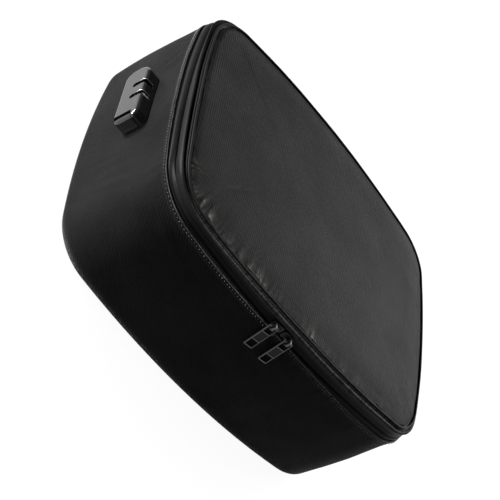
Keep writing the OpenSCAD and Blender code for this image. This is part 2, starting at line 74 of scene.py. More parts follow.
# %% Helpers for selecting and editing
def only(piece):
    """Selects this piece alone and makes it active."""
    bpy.ops.object.select_all(action="DESELECT")
    piece.select_set(True)
    bpy.context.view_layer.objects.active = piece


def named(piece, name):
    """The piece, with its name on its mesh too."""
    piece.name = piece.data.name = name
    return piece


def primitive(kind, name, **settings):
    """Adds a primitive while nothing else is selected."""
    bpy.ops.object.select_all(action="DESELECT")
    getattr(bpy.ops.mesh, f"primitive_{kind}_add")(**settings)
    return named(bpy.context.object, name)


def linked(name, data):
    """A new object in the scene, made from its data."""
    piece = bpy.data.objects.new(name, data)
    bpy.context.scene.collection.objects.link(piece)
    return piece


def edit(piece, mode="VERT", action="DESELECT"):
    """Opens the piece in edit mode with nothing selected, or everything."""
    only(piece)
    bpy.ops.object.mode_set(mode="EDIT")
    bpy.ops.mesh.select_mode(type=mode)
    bpy.ops.mesh.select_all(action=action)


def pick(piece, test, kind="vertices"):
    """Selects the vertices, edges or polygons that pass a test, and reopens edit mode."""
    bpy.ops.object.mode_set(mode="OBJECT")
    for element in getattr(piece.data, kind):
        element.select = bool(test(element))
    bpy.ops.object.mode_set(mode="EDIT")


def facing_out():
    """Selects the whole mesh and turns its faces outwards."""
    bpy.ops.mesh.select_all(action="SELECT")
    bpy.ops.mesh.normals_make_consistent(inside=False)


def done(piece):
    """Back to object mode, with the piece's place moved into its mesh."""
    bpy.ops.object.mode_set(mode="OBJECT")
    only(piece)
    bpy.ops.object.transform_apply(location=True, rotation=True, scale=True)
    return piece


def modify(piece, kind, **settings):
    """Adds a modifier with its settings and applies it at once."""
    only(piece)
    modifier = piece.modifiers.new(kind.title(), kind)
    for key, value in settings.items():
        setattr(modifier, key, value)
    bpy.ops.object.modifier_apply(modifier=modifier.name)
    return piece


def points(piece):
    """The piece's vertices as an array of places."""
    flat = np.empty(len(piece.data.vertices) * 3)
    piece.data.vertices.foreach_get("co", flat)
    return flat.reshape(-1, 3)


def set_points(piece, places):
    """Puts the piece's vertices at new places."""
    piece.data.vertices.foreach_set("co", np.asarray(places).ravel())
    piece.data.update()


print("helpers ready")


# %% [markdown]
# ## The outline
# Seen from above, the bag is a rectangle with round corners whose sides bow outwards a little. Each
# side is a shallow arc that runs into the corner arcs without a kink. Moved inwards, the outline
# keeps the same eight centres and angles, so a place near the wall is told by three numbers: how far
# along the outline, how deep inside it, and how high.

# %% The eight arcs
side_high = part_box("side_cover")[1]
side_x, side_y = side_high.x, side_high.y
corner_r, bow_long, bow_short = 50 * mm, 12 * mm, 5 * mm
corner_x = side_x - bow_short - corner_r
corner_y = side_y - bow_long - corner_r
reach_long = (corner_x ** 2 + bow_long ** 2) / (2 * bow_long)
reach_short = (corner_y ** 2 + bow_short ** 2) / (2 * bow_short)
turn_long = math.asin(corner_x / reach_long)
turn_short = math.asin(corner_y / reach_short)
far_x = reach_short + corner_r - side_x
far_y = reach_long + corner_r - side_y
quarter = math.pi / 2

# Each arc: its centre, its radius at the wall, and its first and last angle
ARCS = [
    ((-corner_x, corner_y), corner_r, quarter + turn_long, 2 * quarter - turn_short),
    ((far_x, 0), reach_short + corner_r, 2 * quarter - turn_short, 2 * quarter + turn_short),
    ((-corner_x, -corner_y), corner_r, 2 * quarter + turn_short, 3 * quarter - turn_long),
    ((0, far_y), reach_long + corner_r, 3 * quarter - turn_long, 3 * quarter + turn_long),
    ((corner_x, -corner_y), corner_r, 3 * quarter + turn_long, 4 * quarter - turn_short),
    ((-far_x, 0), reach_short + corner_r, 4 * quarter - turn_short, 4 * quarter + turn_short),
    ((corner_x, corner_y), corner_r, 4 * quarter + turn_short, 5 * quarter - turn_long),
    ((0, -far_y), reach_long + corner_r, 5 * quarter - turn_long, 5 * quarter + turn_long),
]
CENTRES, RADII, ANGLES = (np.array(column) for column in list(zip(*ARCS))[:3])
LENGTHS = [radius * (last - first) for _, radius, first, last in ARCS]
STARTS = [sum(LENGTHS[:i]) for i in range(len(ARCS))]
round_trip = sum(LENGTHS)
NEAR_CORNER, FRONT, REAR = 2, 3, 7
all_arcs, zip_arcs, hinge_arcs = (0, 8), (0, REAR), (REAR, REAR + 1)
zip_length = STARTS[REAR]
print("outline", round(round_trip / mm), "mm, zip", round(zip_length / mm), "mm")


# %% Places told along, inside and above the outline
def along_outline(places):
    """For each place: the distance along the outline, and how deep it lies inside it."""
    best_along = np.zeros(len(places))
    best_inset = np.full(len(places), 9.0)
    for (centre, radius, first, last), start in zip(ARCS, STARTS):
        offset = places[:, :2] - np.array(centre)
        angle = np.arctan2(offset[:, 1], offset[:, 0])
        turned = np.mod(angle - first + 1e-7, 2 * math.pi) - 1e-7
        inset = radius - np.hypot(offset[:, 0], offset[:, 1])
        here = (turned <= last - first + 1e-6) & (inset < best_inset)
        best_along[here] = start + radius * turned[here]
        best_inset[here] = inset[here]
    return best_along, best_inset


def at_outline(along, inset, height):
    """The places at these distances along the outline, depths inside it and heights."""
    along = np.mod(np.atleast_1d(np.asarray(along, float)), round_trip)
    index = np.searchsorted(np.array(STARTS), along, side="right") - 1
    angles = ANGLES[index] + (along - np.array(STARTS)[index]) / RADII[index]
    out = np.stack([np.cos(angles), np.sin(angles)], 1)
    flat = CENTRES[index] + out * (RADII[index] - np.broadcast_to(inset, along.shape))[:, None]
    return np.column_stack([flat, np.broadcast_to(height, along.shape)])


def on_cloth(piece):
    """A piece's vertices as places, with how far along and how deep inside the outline they are."""
    places = points(piece)
    return (places, *along_outline(places))


front_middle = STARTS[FRONT] + LENGTHS[FRONT] / 2
print("middle of the front, in mm:", np.round(at_outline(front_middle, 0, 0)[0] / mm, 2))


# %% [markdown]
# ## Spinning a profile round the outline
# A closed profile starts as a circle of vertices that are laid on the profile's points. Eight spins,
# one for each arc, carry it round. The profile's corners are rounded first, because folded cloth has
# no sharp edge. Spin turns clockwise, so the arcs' angles go in with their sign changed.

# %% Profiles and sweeps
def rounded(corners, steps=4):
    """A closed outline of (x, y, radius) corners with each corner rounded, as a list of points."""
    found = []
    for i, (x, y, radius) in enumerate(corners):
        here = Vector((x, y))
        before = Vector(corners[i - 1][:2]) - here
        after = Vector(corners[(i + 1) % len(corners)][:2]) - here
        reach = min(radius, 0.49 * before.length, 0.49 * after.length)
        start, end = here + before.normalized() * reach, here + after.normalized() * reach
        pull = math.sin(before.angle(after) / 2)
        for t in (k / steps for k in range(steps + 1)):
            first, middle, last = (1 - t) ** 2, 2 * t * (1 - t) * pull, t * t
            found.append((first * start + middle * here + last * end) / (first + middle + last))
    return [(point.x, point.y) for point in found]


def sweep(name, profile, arcs=all_arcs, step=4, shut=True):
    """Spins a profile of (inset, height) in mm round the outline. Not shut, it makes a band."""
    piece = primitive("circle", name, vertices=len(profile), radius=mm)
    start = [STARTS[arcs[0]] + 1e-9] * len(profile)
    set_points(piece, at_outline(start, *(np.array(profile) * mm).T))
    edit(piece, "EDGE")
    if not shut:
        ends = {0, len(profile) - 1}
        pick(piece, lambda edge: set(edge.vertices) == ends, "edges")
        bpy.ops.mesh.delete(type="EDGE")
    bpy.ops.mesh.select_all(action="SELECT")
    for (centre, _, start, end), length in list(zip(ARCS, LENGTHS))[slice(*arcs)]:
        bpy.ops.mesh.spin(steps=max(2, round(length / (step * mm))), angle=start - end,
                          center=(*centre, 0), axis=(0, 0, 1))
    if arcs == all_arcs:
        bpy.ops.mesh.select_all(action="SELECT")
        bpy.ops.mesh.remove_doubles(threshold=0.01 * mm)
    else:
        bpy.ops.mesh.select_all(action="DESELECT")
        bpy.ops.mesh.select_non_manifold(extend=False)
        bpy.ops.mesh.edge_face_add()
    facing_out()
    return done(piece)


def capped(piece, *levels):
    """Closes the open rims of a band at these heights in mm, with one face each."""
    for level in levels:
        edit(piece)
        pick(piece, lambda vertex: abs(vertex.co.z - level * mm) < 0.02 * mm)
        bpy.ops.mesh.select_mode(type="EDGE")
        bpy.ops.mesh.edge_face_add()
        facing_out()
        done(piece)
    return piece


def slab(name, inset, low, high, soft):
    """A flat layer inside the outline, between two heights in mm, with its edge a little rounded."""
    side = [(inset + soft, low), (inset, low + soft), (inset, high - soft), (inset + soft, high)]
    return capped(sweep(name, side, step=6, shut=False), low, high)


print("sweep and slab ready")


# %% [markdown]
# ## Camera, floor and light
# The bag lies flat on a pale floor and the picture is turned, so the camera is rolled. It stands
# more than a metre off, where the near corner and the far one look almost the same size.

# %% Camera
camera_place = Vector((-587.1, -839.7, 601.5)) * mm
camera_right = Vector((0.5738, 0.1124, 0.8113))
camera_down = Vector((0.6449, -0.6726, -0.3629))
camera_ahead = Vector((0.5049, 0.7314, -0.4584))
camera = linked("camera", bpy.data.cameras.new("camera"))
camera.data.sensor_width = 36
camera.data.lens = 91.3
camera.data.shift_x, camera.data.shift_y = -0.0303, -0.0159
turned = Matrix((camera_right, -camera_down, -camera_ahead)).transposed()
camera.matrix_world = Matrix.Translation(camera_place) @ turned.to_4x4()
bpy.context.scene.camera = camera
bpy.context.scene.view_settings.view_transform = "Standard"
print("camera", round(camera_place.length / mm), "mm from the bag")


# %% [markdown]
# ## Formulas that build their own nodes
# A material is a drawing made of nodes, and a long drawing is hard to read. Here a socket can be
# added and multiplied like a number, and each sign makes its Math node. Any other node comes from
# one method that takes the node's type, its settings and what goes into it.

# %% A socket and a finish
class Socket:
    """A socket of a finish's nodes that takes part in formulas."""

    def __init__(self, finish, socket):
        self.finish, self.socket = finish, socket

    def maths(self, operation, *values):
        """A Math node with this operation on the values."""
        return self.finish.node("ShaderNodeMath", {"operation": operation}, dict(enumerate(values)))

    def __add__(self, other):
        return self.maths("ADD", self, other)

    def __mul__(self, other):
        return self.maths("MULTIPLY", self, other)

    def __sub__(self, other):
        return self.maths("SUBTRACT", self, other)

    def __rsub__(self, other):
        return self.maths("SUBTRACT", other, self)

    __radd__, __rmul__ = __add__, __mul__

    def sine(self):
        """The sine of the value."""
        return self.maths("SINE", self)

    def part(self, name):
        """The X, Y or Z part of a vector."""
        return self.finish.node("ShaderNodeSeparateXYZ", {}, {0: self}, "XYZ".index(name))

    def above(self, low, high):
        """0 below low, 1 above high, and smooth between them."""
        values = {0: self, 1: low, 2: high, 3: 0.0, 4: 1.0}
        return self.finish.node("ShaderNodeMapRange", {"interpolation_type": "SMOOTHSTEP"}, values)


class Finish:
    """A material in the making. What is the same all over goes straight onto its shader."""

    def __init__(self, name, **constants):
        self.material = bpy.data.materials.new(name)
        self.material.use_nodes = True
        self.tree = self.material.node_tree
        self.shader = self.tree.nodes["Principled BSDF"]
        self.set(**constants)

    def node(self, kind, settings, inputs, output=0):
        """A node of this type, with its settings first and then its inputs."""
        made = self.tree.nodes.new(kind)
        for key, value in settings.items():
            setattr(made, key, value)
        for key, value in inputs.items():
            self.feed(made.inputs[key], value)
        return Socket(self, made.outputs[output])

    def feed(self, socket, value):
        """Links a socket to this input, or sets the input to a number or colour."""
        if isinstance(value, Socket):
            self.tree.links.new(value.socket, socket)
        else:
            socket.default_value = value

    def set(self, **values):
        """Sets the shader's inputs, with words joined by underscores."""
        for key, value in values.items():
            self.feed(self.shader.inputs[key.replace("_", " ")], value)

    def cloth_place(self):
        """The place on the cloth, in metres along and across it."""
        return self.node("ShaderNodeUVMap", {"uv_map": "cloth"}, {})

    def object_place(self):
        """The place in the bag's own frame, in metres."""
        return self.node("ShaderNodeTexCoord", {}, {}, 3)

    def clouds(self, vector, scale, detail=2.0, roughness=0.5, stretch=None):
        """Noise from 0 to 1, stretched by a scale for each direction if one is given."""
        if stretch:
            factors = {0: vector, 1: stretch}
            vector = self.node("ShaderNodeVectorMath", {"operation": "MULTIPLY"}, factors)
        values = {"Vector": vector, "Scale": scale, "Detail": detail, "Roughness": roughness}
        return self.node("ShaderNodeTexNoise", {}, values)

    def mixed(self, factor, first, second):
        """A blend of two colours."""
        values = {0: factor, 6: first, 7: second}
        return self.node("ShaderNodeMix", {"data_type": "RGBA"}, values, 2)

    def relief(self, height, depth):
        """Turns a height from 0 to 1 into a relief this many mm deep."""
        values = {"Height": height, "Distance": depth * mm, "Strength": 1.0}
        self.set(Normal=self.node("ShaderNodeBump", {}, values))


def grey(value, tint=(1.0, 1.0, 1.0)):
    """A grey in linear light, a little tinted."""
    return tuple(value * part for part in tint) + (1.0,)


print("finish ready")


# %% [markdown]
# ## Floor, world and lamps
# The floor is a wide disc whose rim rises as a low backdrop. The Light Path node tells what kind of
# ray asks for its colour. Rays from the camera and mirror-like rays get plain white, and so see the
# background of a product picture. Rays that carry light get a pale floor. A little of the pale floor
# is left in the white, and with it the shadow. The world above stays a dim even grey. The key lamp
# is a big square above the right rear. The left lamp is a low strip with its middle under the lid's
# level, so that it lights the short side and hardly touches the lid.

# %% Floor and world
disc_r, rim_width, rim_rise, floor_drop = 8, 0.4, 2.1, 0.4 * mm
pale = Finish("pale_floor", Base_Color=grey(0.6), Roughness=0.9)
kinds = pale.node("ShaderNodeLightPath", {}, {}).socket.node.outputs
camera_ray, glossy_ray, through_ray = (
    Socket(pale, kinds[f"Is {kind} Ray"]) for kind in ("Camera", "Glossy", "Transmission"))
seen = camera_ray + glossy_ray + through_ray
share = seen.maths("MINIMUM", seen, 1.0) * 0.84
white = pale.node("ShaderNodeEmission", {}, {"Color": grey(1.0), "Strength": 1.13})
paint = Socket(pale, pale.shader.outputs[0])
surface = pale.node("ShaderNodeMixShader", {}, {0: share, 1: paint, 2: white})
pale.feed(pale.tree.nodes["Material Output"].inputs["Surface"], surface)
floor = primitive("circle", "floor_and_backdrop", vertices=96, radius=disc_r, fill_type="NGON",
                  location=(0, 0, -floor_drop))
edit(floor, "FACE", "SELECT")
bpy.ops.mesh.inset(thickness=rim_width)
bpy.ops.mesh.select_all(action="INVERT")
bpy.ops.mesh.extrude_region_move(TRANSFORM_OT_translate={"value": (0, 0, 0)})
pick(floor, lambda vertex: math.hypot(vertex.co.x, vertex.co.y) > disc_r - rim_width / 4)
bpy.ops.transform.translate(value=(0, 0, rim_rise))
done(floor)
floor.data.materials.append(pale.material)

world = bpy.data.worlds.new("studio")
world.use_nodes = True
bpy.context.scene.world = world
sky = world.node_tree.nodes["Background"].inputs
sky["Color"].default_value, sky["Strength"].default_value = grey(1.0), 0.08
print("floor, backdrop and world ready")


# %% Lamps
def softbox(name, place, width, height, power):
    """A lamp of this width and height, in metres, that faces the bag."""
    lamp = linked(name, bpy.data.lights.new(name, "AREA"))
    lamp.data.shape, lamp.data.energy = "RECTANGLE", power
    lamp.data.size, lamp.data.size_y = width, height
    lamp.location = place
    aim = Vector((0, 0, 0.08)) - Vector(place)
    lamp.rotation_euler = aim.to_track_quat("-Z", "Y").to_euler()


softbox("key_lamp", (0.95, 0.7, 1.0), 0.95, 0.95, 23)
softbox("left_lamp", (-1.3, 0.2, 0.11), 1.0, 0.14, 78)


# %% [markdown]
# ## Coated cloth
# The bag is cut from woven polyester with a black coating. From a step away it is a soft satin black;
# closer up there are fine threads, a coarser rib where thicker threads run, and cloudy patches where
# the coating is worn. The pattern reads the cloth's own map, in metres along and across the cloth,
# so that the threads follow the wall round its corners. Where a highlight is painted along a fold, a
# ridge or a crest, the piece carries its strength at each vertex, and the finish blends towards a
# paler colour.

# %% Cloth finishes
def woven(name, dark, light, thread=0.55, rib=4.0, slant=0.0, rib_share=0.3, relief=0.08,
          rough=(0.5, 0.58), level=0.1, sheen=0.0, cloudy=0.3, highlight_colour=None):
    """Coated cloth with threads, a wavering rib and cloudy patches. Widths and relief are in mm,
    and the last colour, if given, is the paler colour of a painted highlight, which the cloth
    blends to where the piece marks one."""
    finish = Finish(name, Specular_IOR_Level=level, Sheen_Weight=sheen, Sheen_Roughness=0.35)
    place = finish.cloth_place()
    along, across = place.part("X"), place.part("Y")
    waver = finish.clouds(place, 24.0, 2.0) * 9.0
    fine, coarse = (2 * math.pi / (width * mm) for width in (thread, rib))
    threads = (along * fine).sine() * (across * fine).sine()
    ribs = (along * coarse + across * (slant * coarse) + waver).sine()
    slubs = finish.clouds(place, 1.0, 4.0, 0.65, stretch=(620.0, 260.0, 1.0))
    worn = finish.clouds(place, 14.0, 5.0, 0.6).above(0.3, 0.7)
    tone = ribs * (0.4 * rib_share) + slubs * 1.2 + worn * cloudy - 0.3
    colour = finish.mixed(tone.above(0.0, 1.0), dark, light)
    # Painted highlight: a paler colour where the piece marks a painted highlight
    if highlight_colour:
        painted_highlight = finish.node("ShaderNodeAttribute", {"attribute_name": "painted_highlight"}, {}, 2)
        colour = finish.mixed(painted_highlight * slubs.above(0.3, 0.6), colour, highlight_colour)
    finish.set(Base_Color=colour)
    finish.set(Roughness=worn * (rough[0] - rough[1]) + slubs * 0.1 + ribs * 0.02 + rough[1])
    finish.relief(threads * 0.3 + ribs * 0.25 + slubs * 0.9, relief)
    return finish.material


wall_look = {"dark": grey(0.001), "light": grey(0.0068), "rib": 3.3, "slant": 1.0, "level": 0.016,
             "sheen": 0.1, "rough": (0.46, 0.54), "relief": 0.2, "rib_share": 0.6}
wall_cloth = woven("wall_cloth", **wall_look)
# The hem's cloth is the wall's, with a pale painted highlight along its fold
highlit_hem_cloth = woven("highlit_hem_cloth", highlight_colour=grey(0.55, (1.0, 0.93, 0.82)), **wall_look)
# The lid's coated cloth is painted lighter than the wall's, for the light on the lid, and its tucks'
# crests carry a pale painted highlight
lid_cloth = woven("lid_cloth", grey(0.003), grey(0.033, (1.0, 1.0, 0.97)), rib=2.2, rib_share=0.85,
                  relief=0.15, level=0.045, rough=(0.42, 0.48), cloudy=0.2,
                  highlight_colour=grey(0.38, (1.0, 0.98, 0.9)))
# The lips' and piping's cloth, with a pale painted highlight on the front's upper roll and piping
highlit_lip_cloth = woven("highlit_lip_cloth", grey(0.004), grey(0.008), rib_share=0.05, relief=0.02,
                  rough=(0.4, 0.44), level=0.038, highlight_colour=grey(0.26))
tape_cloth = woven("tape_cloth", grey(0.006), grey(0.012), thread=0.8, rib=1.6)
liner_cloth = woven("liner_cloth", grey(0.30), grey(0.42, (1.0, 0.99, 0.96)), thread=1.1, rib=2.2,
                    relief=0.12, level=0.4)
binding_cloth = woven("binding_cloth", grey(0.012), grey(0.022), thread=0.9, rib=1.8)
print("cloth finishes:", [m.name for m in bpy.data.materials if m.name.endswith("cloth")])


# %% [markdown]
# ## Felt, board, paint and metal
# The stiff and the matted materials read the place in the bag's own frame. Felt and board mix two
# tones by fine noise. Paint has a fine grain and faint handling marks that change its gloss. Bare
# metal has fine drawn lines.

# %% Felt, board, metal and plastic finishes
def felted(name, dark, light):
    """Insulation: matted fibres with soft lumps."""
    finish = Finish(name, Specular_IOR_Level=0.1, Sheen_Weight=0.2)
    place = finish.object_place()
    fibres = finish.clouds(place, 1.0, 6.0, 0.7, stretch=(900.0, 900.0, 300.0))
    lumps = finish.clouds(place, 120.0, 3.0)
    finish.set(Base_Color=finish.mixed(fibres.above(0.35, 0.65), dark, light))
    finish.set(Roughness=lumps * 0.2 + 0.75)
    finish.relief(fibres * 0.5 + lumps * 0.5, 0.5)
    return finish.material


def pressed_board(name, dark, light):
    """Grey board: pressed fibres with darker flecks."""
    finish = Finish(name, Specular_IOR_Level=0.2)
    place = finish.object_place()
    flecks = finish.clouds(place, 1100.0, 4.0, 0.65)
    cloudy = finish.clouds(place, 60.0, 2.0)
    finish.set(Base_Color=finish.mixed(flecks.above(0.3, 0.7), dark, light))
    finish.set(Roughness=cloudy * 0.15 + 0.7)
    finish.relief(flecks, 0.15)
    return finish.material


def painted(name, base, level, rough, grain_scale=1500.0, grain_depth=0.01, metallic=0.0):
    """Paint or moulded plastic: an even colour with a fine grain and faint handling marks."""
    finish = Finish(name, Specular_IOR_Level=level, Metallic=metallic)
    place = finish.object_place()
    grain = finish.clouds(place, grain_scale, 3.0, 0.6)
    marks = finish.clouds(place, 90.0, 5.0, 0.6).above(0.4, 0.8)
    finish.set(Base_Color=finish.mixed(marks * 0.5 + grain * 0.3, grey(base), grey(base * 1.35)))
    finish.set(Roughness=grain * 0.12 + marks * 0.08 + rough)
    finish.relief(grain, grain_depth)
    return finish.material


def brushed(name, colour, rough):
    """Bare metal with fine marks along the bag's width."""
    finish = Finish(name, Metallic=1.0)
    lines = finish.clouds(finish.object_place(), 1.0, 3.0, stretch=(2600.0, 200.0, 2600.0))
    dull = grey(0.8, colour[:3])
    finish.set(Base_Color=finish.mixed(lines, dull, colour), Roughness=lines * 0.18 + rough)
    finish.relief(lines, 0.01)
    return finish.material


insulation_felt = felted("insulation_felt", grey(0.15), grey(0.26))
grey_board = pressed_board("grey_board", grey(0.16, (1.0, 0.9, 0.76)),
                           grey(0.27, (1.0, 0.92, 0.8)))
case_paint = painted("case_paint", 0.005, 0.95, 0.05, 2600.0, 0.006)
# Painted light: the end panel's paint is lighter than the casing's; its duller gloss and coarser
# grain are its own
panel_light_paint = painted("panel_light_paint", 0.028, 0.3, 0.4, 900.0, 0.03)
# Painted shade: a dark, dull paint for the faces inside the lock's slots and its gap
shade_paint = painted("shade_paint", 0.004, 0.03, 0.5, 2600.0)
black_metal = painted("black_metal", 0.004, 0.14, 0.24)
worn_metal = painted("worn_metal", 0.015, 0.8, 0.2, metallic=0.1)
rim_metal = painted("rim_metal", 0.01, 0.6, 0.2)
panel_metal = painted("panel_metal", 0.008, 0.1, 0.35)
nylon = painted("nylon", 0.011, 0.5, 0.32, 1800.0)
rubber = painted("rubber", 0.02, 0.25, 0.62, 1400.0, 0.05)
thread = painted("thread", 0.42, 0.3, 0.5, 3000.0, 0.02)
# Painted highlight: bright metal for the slot lips, in place of the light on the slots' edges
highlight_metal = brushed("highlight_metal", grey(0.62), 0.2)
steel = brushed("steel", grey(0.55, (1.0, 0.99, 0.96)), 0.26)
print(len(bpy.data.materials), "finishes")


# %% [markdown]
# ## Dressing a piece
# Each finished piece gets smooth shading, a cloth map, its finish and the body it rides on, and the
# construction's nodes that it stands for are hidden.

# %% Dressing
def lay_map(piece, flat):
    """Maps the piece in metres: along the outline and up or inwards, or flat by X and Y."""
    places, along, inset = on_cloth(piece)
    corners = np.empty(len(piece.data.loops), int)
    piece.data.loops.foreach_get("vertex_index", corners)
    u, v = (places[:, 0], places[:, 1]) if flat else (along, places[:, 2] - inset)
    u, v = u[corners], v[corners]
    for face in piece.data.polygons:
        span = slice(face.loop_start, face.loop_start + face.loop_total)
        if np.ptp(u[span]) > round_trip / 2:
            u[span] = np.where(u[span] < round_trip / 2, u[span] + round_trip, u[span])
    layer = piece.data.uv_layers.get("cloth") or piece.data.uv_layers.new(name="cloth")
    layer.data.foreach_set("uv", np.column_stack([u, v]).ravel())


def dress(piece, material, body, nodes=(), angle=40, flat=False, hard=False):
    """Shading, map, finish and body, and hides the nodes that the piece stands for. On a hard piece
    the big flat faces keep their own shading, and only the roundings turn. A piece that lies between
    two bodies has none of its own."""
    only(piece)
    bpy.ops.object.shade_smooth_by_angle(angle=math.radians(angle))
    if hard:
        modify(piece, "WEIGHTED_NORMAL", mode="FACE_AREA", weight=50, keep_sharp=True)
    lay_map(piece, flat)
    piece.data.materials.clear()
    piece.data.materials.append(material)
    if body:
        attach(piece, body)
    if nodes:
        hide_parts(*nodes)
    print(f"{piece.name}: {len(piece.data.polygons)} faces")
    return piece


print("dressing ready")


# %% [markdown]
# ## The wall of the bag
# One band of cloth runs round the four sides and turns under the base. The boards behind it are
# bowed, so the cloth swells a little between the base and the mouth, sags in shallow waves, and
# puckers where the hem is stitched. The lock presses it flat. The band is spun with enough rows to
# carry these, and then moved by a rule that works on the place along, inside and above the outline.
# The crease at the mouth and the piping wander up and down a little, as seams on a soft bag do. How
# far they do, and where the folds lie, was read from the photograph.

# %% Heights and depths that the pieces share, in mm
zip_z = (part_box("lower_zip_coil")[1].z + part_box("upper_zip_coil")[0].z) / 2 / mm
seam_z = side_high.z / mm
piping_low, piping_high = (corner.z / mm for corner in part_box("lid_piping"))
piping_z, piping_r = (piping_low + piping_high) / 2, (piping_high - piping_low) / 2
piping_inset = (side_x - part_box("lid_piping")[1].x) / mm + piping_r
cover_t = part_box("base_cover")[1].z / mm
base_r = 12
lock_low, lock_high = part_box("lock_casing")
lock_middle = (lock_low + lock_high) / 2
lock_along = float(along_outline(np.array([[-side_x, lock_middle.y, 0]]))[0][0])
print("zip, crease and piping at", [round(z, 2) for z in (zip_z, seam_z, piping_z)], "mm")


# %% Waves and steps
def waves(along, height, size, seed):
    """Smooth noise from -1 to 1 over the wall, with humps of about this size in mm."""
    size = size * mm
    turns = along * (2 * math.pi / round_trip)
    ring = round_trip / (2 * math.pi * size)
    spots = ((ring * math.cos(a), ring * math.sin(a), z / size + 7.3 * seed)
             for a, z in zip(turns, height))
    return np.array([noise.noise(Vector(spot)) for spot in spots])


def smooth_step(value, low, high):
    """0 below low, 1 above high, smooth between. Low may be the larger one."""
    t = np.clip((value - low) / (high - low), 0, 1)
    return t * t * (3 - 2 * t)


def past(along, middle):
    """The signed distance along the outline from a place on it, the shorter way round."""
    return np.mod(along - middle + round_trip / 2, round_trip) - round_trip / 2


# %% How the seams wander
# Each spot: where along the outline, and how far the seam lies above its level there, in mm
CREASE_LIFT = [(0, -2.0), (62, -1.6), (110, -1.8), (158, 0.0), (210, 1.0), (250, 2.2), (272, 1.2),
               (312, 0.2), (350, 0.4), (392, 1.8), (414, 2.2), (460, 2.0), (502, 0.2), (532, -1.6),
               (570, -2.6), (615, -2.0), (690, -0.6), (850, 0.0), (1000, 0.4), (1110, -0.6)]
PIPING_LIFT = [(0, -1.5), (62, -3.0), (116, -1.0), (164, 1.4), (200, 2.0), (250, 1.6), (274, -1.4),
               (300, -2.4), (328, -2.1), (350, -1.6), (380, -0.5), (420, 0.7), (458, 0.8), (528, 0.0),
               (575, -0.6), (615, -2.2), (680, -0.8), (850, 0.0), (1000, 0.3), (1110, -0.4)]


def lift_at(along, spots):
    """The height, in metres, that a seam wanders up or down along the outline."""
    where, lifts = np.array(spots).T
    length = round_trip / mm
    where, lifts = np.concatenate([where - length, where, where + length]), np.tile(lifts, 3)
    found = [np.interp(np.asarray(along) / mm + shift, where, lifts)
             for shift in np.arange(-14, 15, 4)]
    return np.mean(found, axis=0) * mm


def sunk(piece, spots):
    """Lowers the top edge of a layer behind a seam wherever that seam wanders down."""
    places, along, _ = on_cloth(piece)
    top, foot = places[:, 2].max(), places[:, 2].min()
    share = smooth_step(places[:, 2], max(foot + 0.2 * mm, top - 12 * mm), top - 0.6 * mm)
    places[:, 2] += np.minimum(lift_at(along, spots), 0) * share
    set_points(piece, places)


crease_lifts = [lift for _, lift in CREASE_LIFT]
print("the crease wanders from", min(crease_lifts), "to", max(crease_lifts), "mm")


# %% Folds and swell
# Each fold: how far past the lock and how high, in mm, the way it runs in degrees from the outline,
# its length and width, and how far it stands out
FOLDS = [(-46, 92, 120, 15, 2.2, 0.55), (-53, 99, 124, 13, 2.0, 0.5), (-40, 101, 118, 10, 1.8, -0.4),
         (-60, 90, 128, 16, 3.0, 0.35), (46, 60, 100, 18, 4.0, 0.35), (30, 100, 160, 20, 2.5, 0.3),
         (-20, 104, 175, 26, 2.4, 0.3), (62, 102, 80, 12, 2.0, 0.5), (71, 104, 84, 11, 1.8, 0.55),
         (79, 103, 86, 11, 1.7, 0.55), (87, 104, 92, 11, 1.8, 0.5), (96, 103, 95, 10, 2.0, 0.45),
         (106, 104, 98, 10, 2.2, 0.35), (120, 80, 60, 26, 5.0, 0.4), (78, 64, 84, 30, 4.0, 0.8),
         (90, 56, 80, 28, 3.2, 0.7), (64, 48, 88, 24, 4.0, 0.6), (52, 40, 78, 22, 3.4, 0.45),
         (150, 96, 170, 30, 4.0, 0.35), (300, 98, 172, 36, 4.0, 0.3)]


def folded(along, height):
    """The sum of the single folds, in metres."""
    total = np.zeros(len(along))
    for where, level, way, length, width, depth in FOLDS:
        away, up = past(along, lock_along + where * mm), height - level * mm
        turn = math.radians(way)
        down_fold = (away * math.cos(turn) + up * math.sin(turn)) / (length * mm)
        over_fold = (up * math.cos(turn) - away * math.sin(turn)) / (width * mm)
        total += depth * mm * np.exp(-down_fold ** 2 - over_fold ** 2)
    return total


def wall_swell(along, height):
    """How far the wall's cloth stands out at each place, in metres."""
    bulge = np.sin(math.pi * np.clip(height / (seam_z * mm), 0, 1))
    broad, small = waves(along, height, 70, 1), waves(along, height, 24, 2)
    swell = (1.3 * bulge ** 0.8 + 0.9 * broad + 0.35 * small) * mm
    near_hem = smooth_step(height, (seam_z - 22) * mm, (seam_z - 7) * mm)
    pucker = waves(along, height * 0.25, 7, 3) * near_hem * 0.28 * mm
    swell = np.maximum(swell * bulge ** 0.5, 0) + pucker + folded(along, height)
    beside, above = np.abs(past(along, lock_along)), np.abs(height - lock_middle.z)
    from_lock = np.maximum(beside - 34 * mm, above - 12 * mm)
    return swell * smooth_step(from_lock, 0, 22 * mm) + 0.05 * mm


def move_wall(piece):
    """Moves a piece of the wall outwards with the cloth's swell, and its top with the crease."""
    places, along, inset = on_cloth(piece)
    height = places[:, 2]
    up = height + lift_at(along, CREASE_LIFT) * smooth_step(height, 60 * mm, (seam_z - 5) * mm)
    swell = wall_swell(along, height) * smooth_step(height, 2 * mm, 14 * mm)
    set_points(piece, at_outline(along, inset - swell, up))


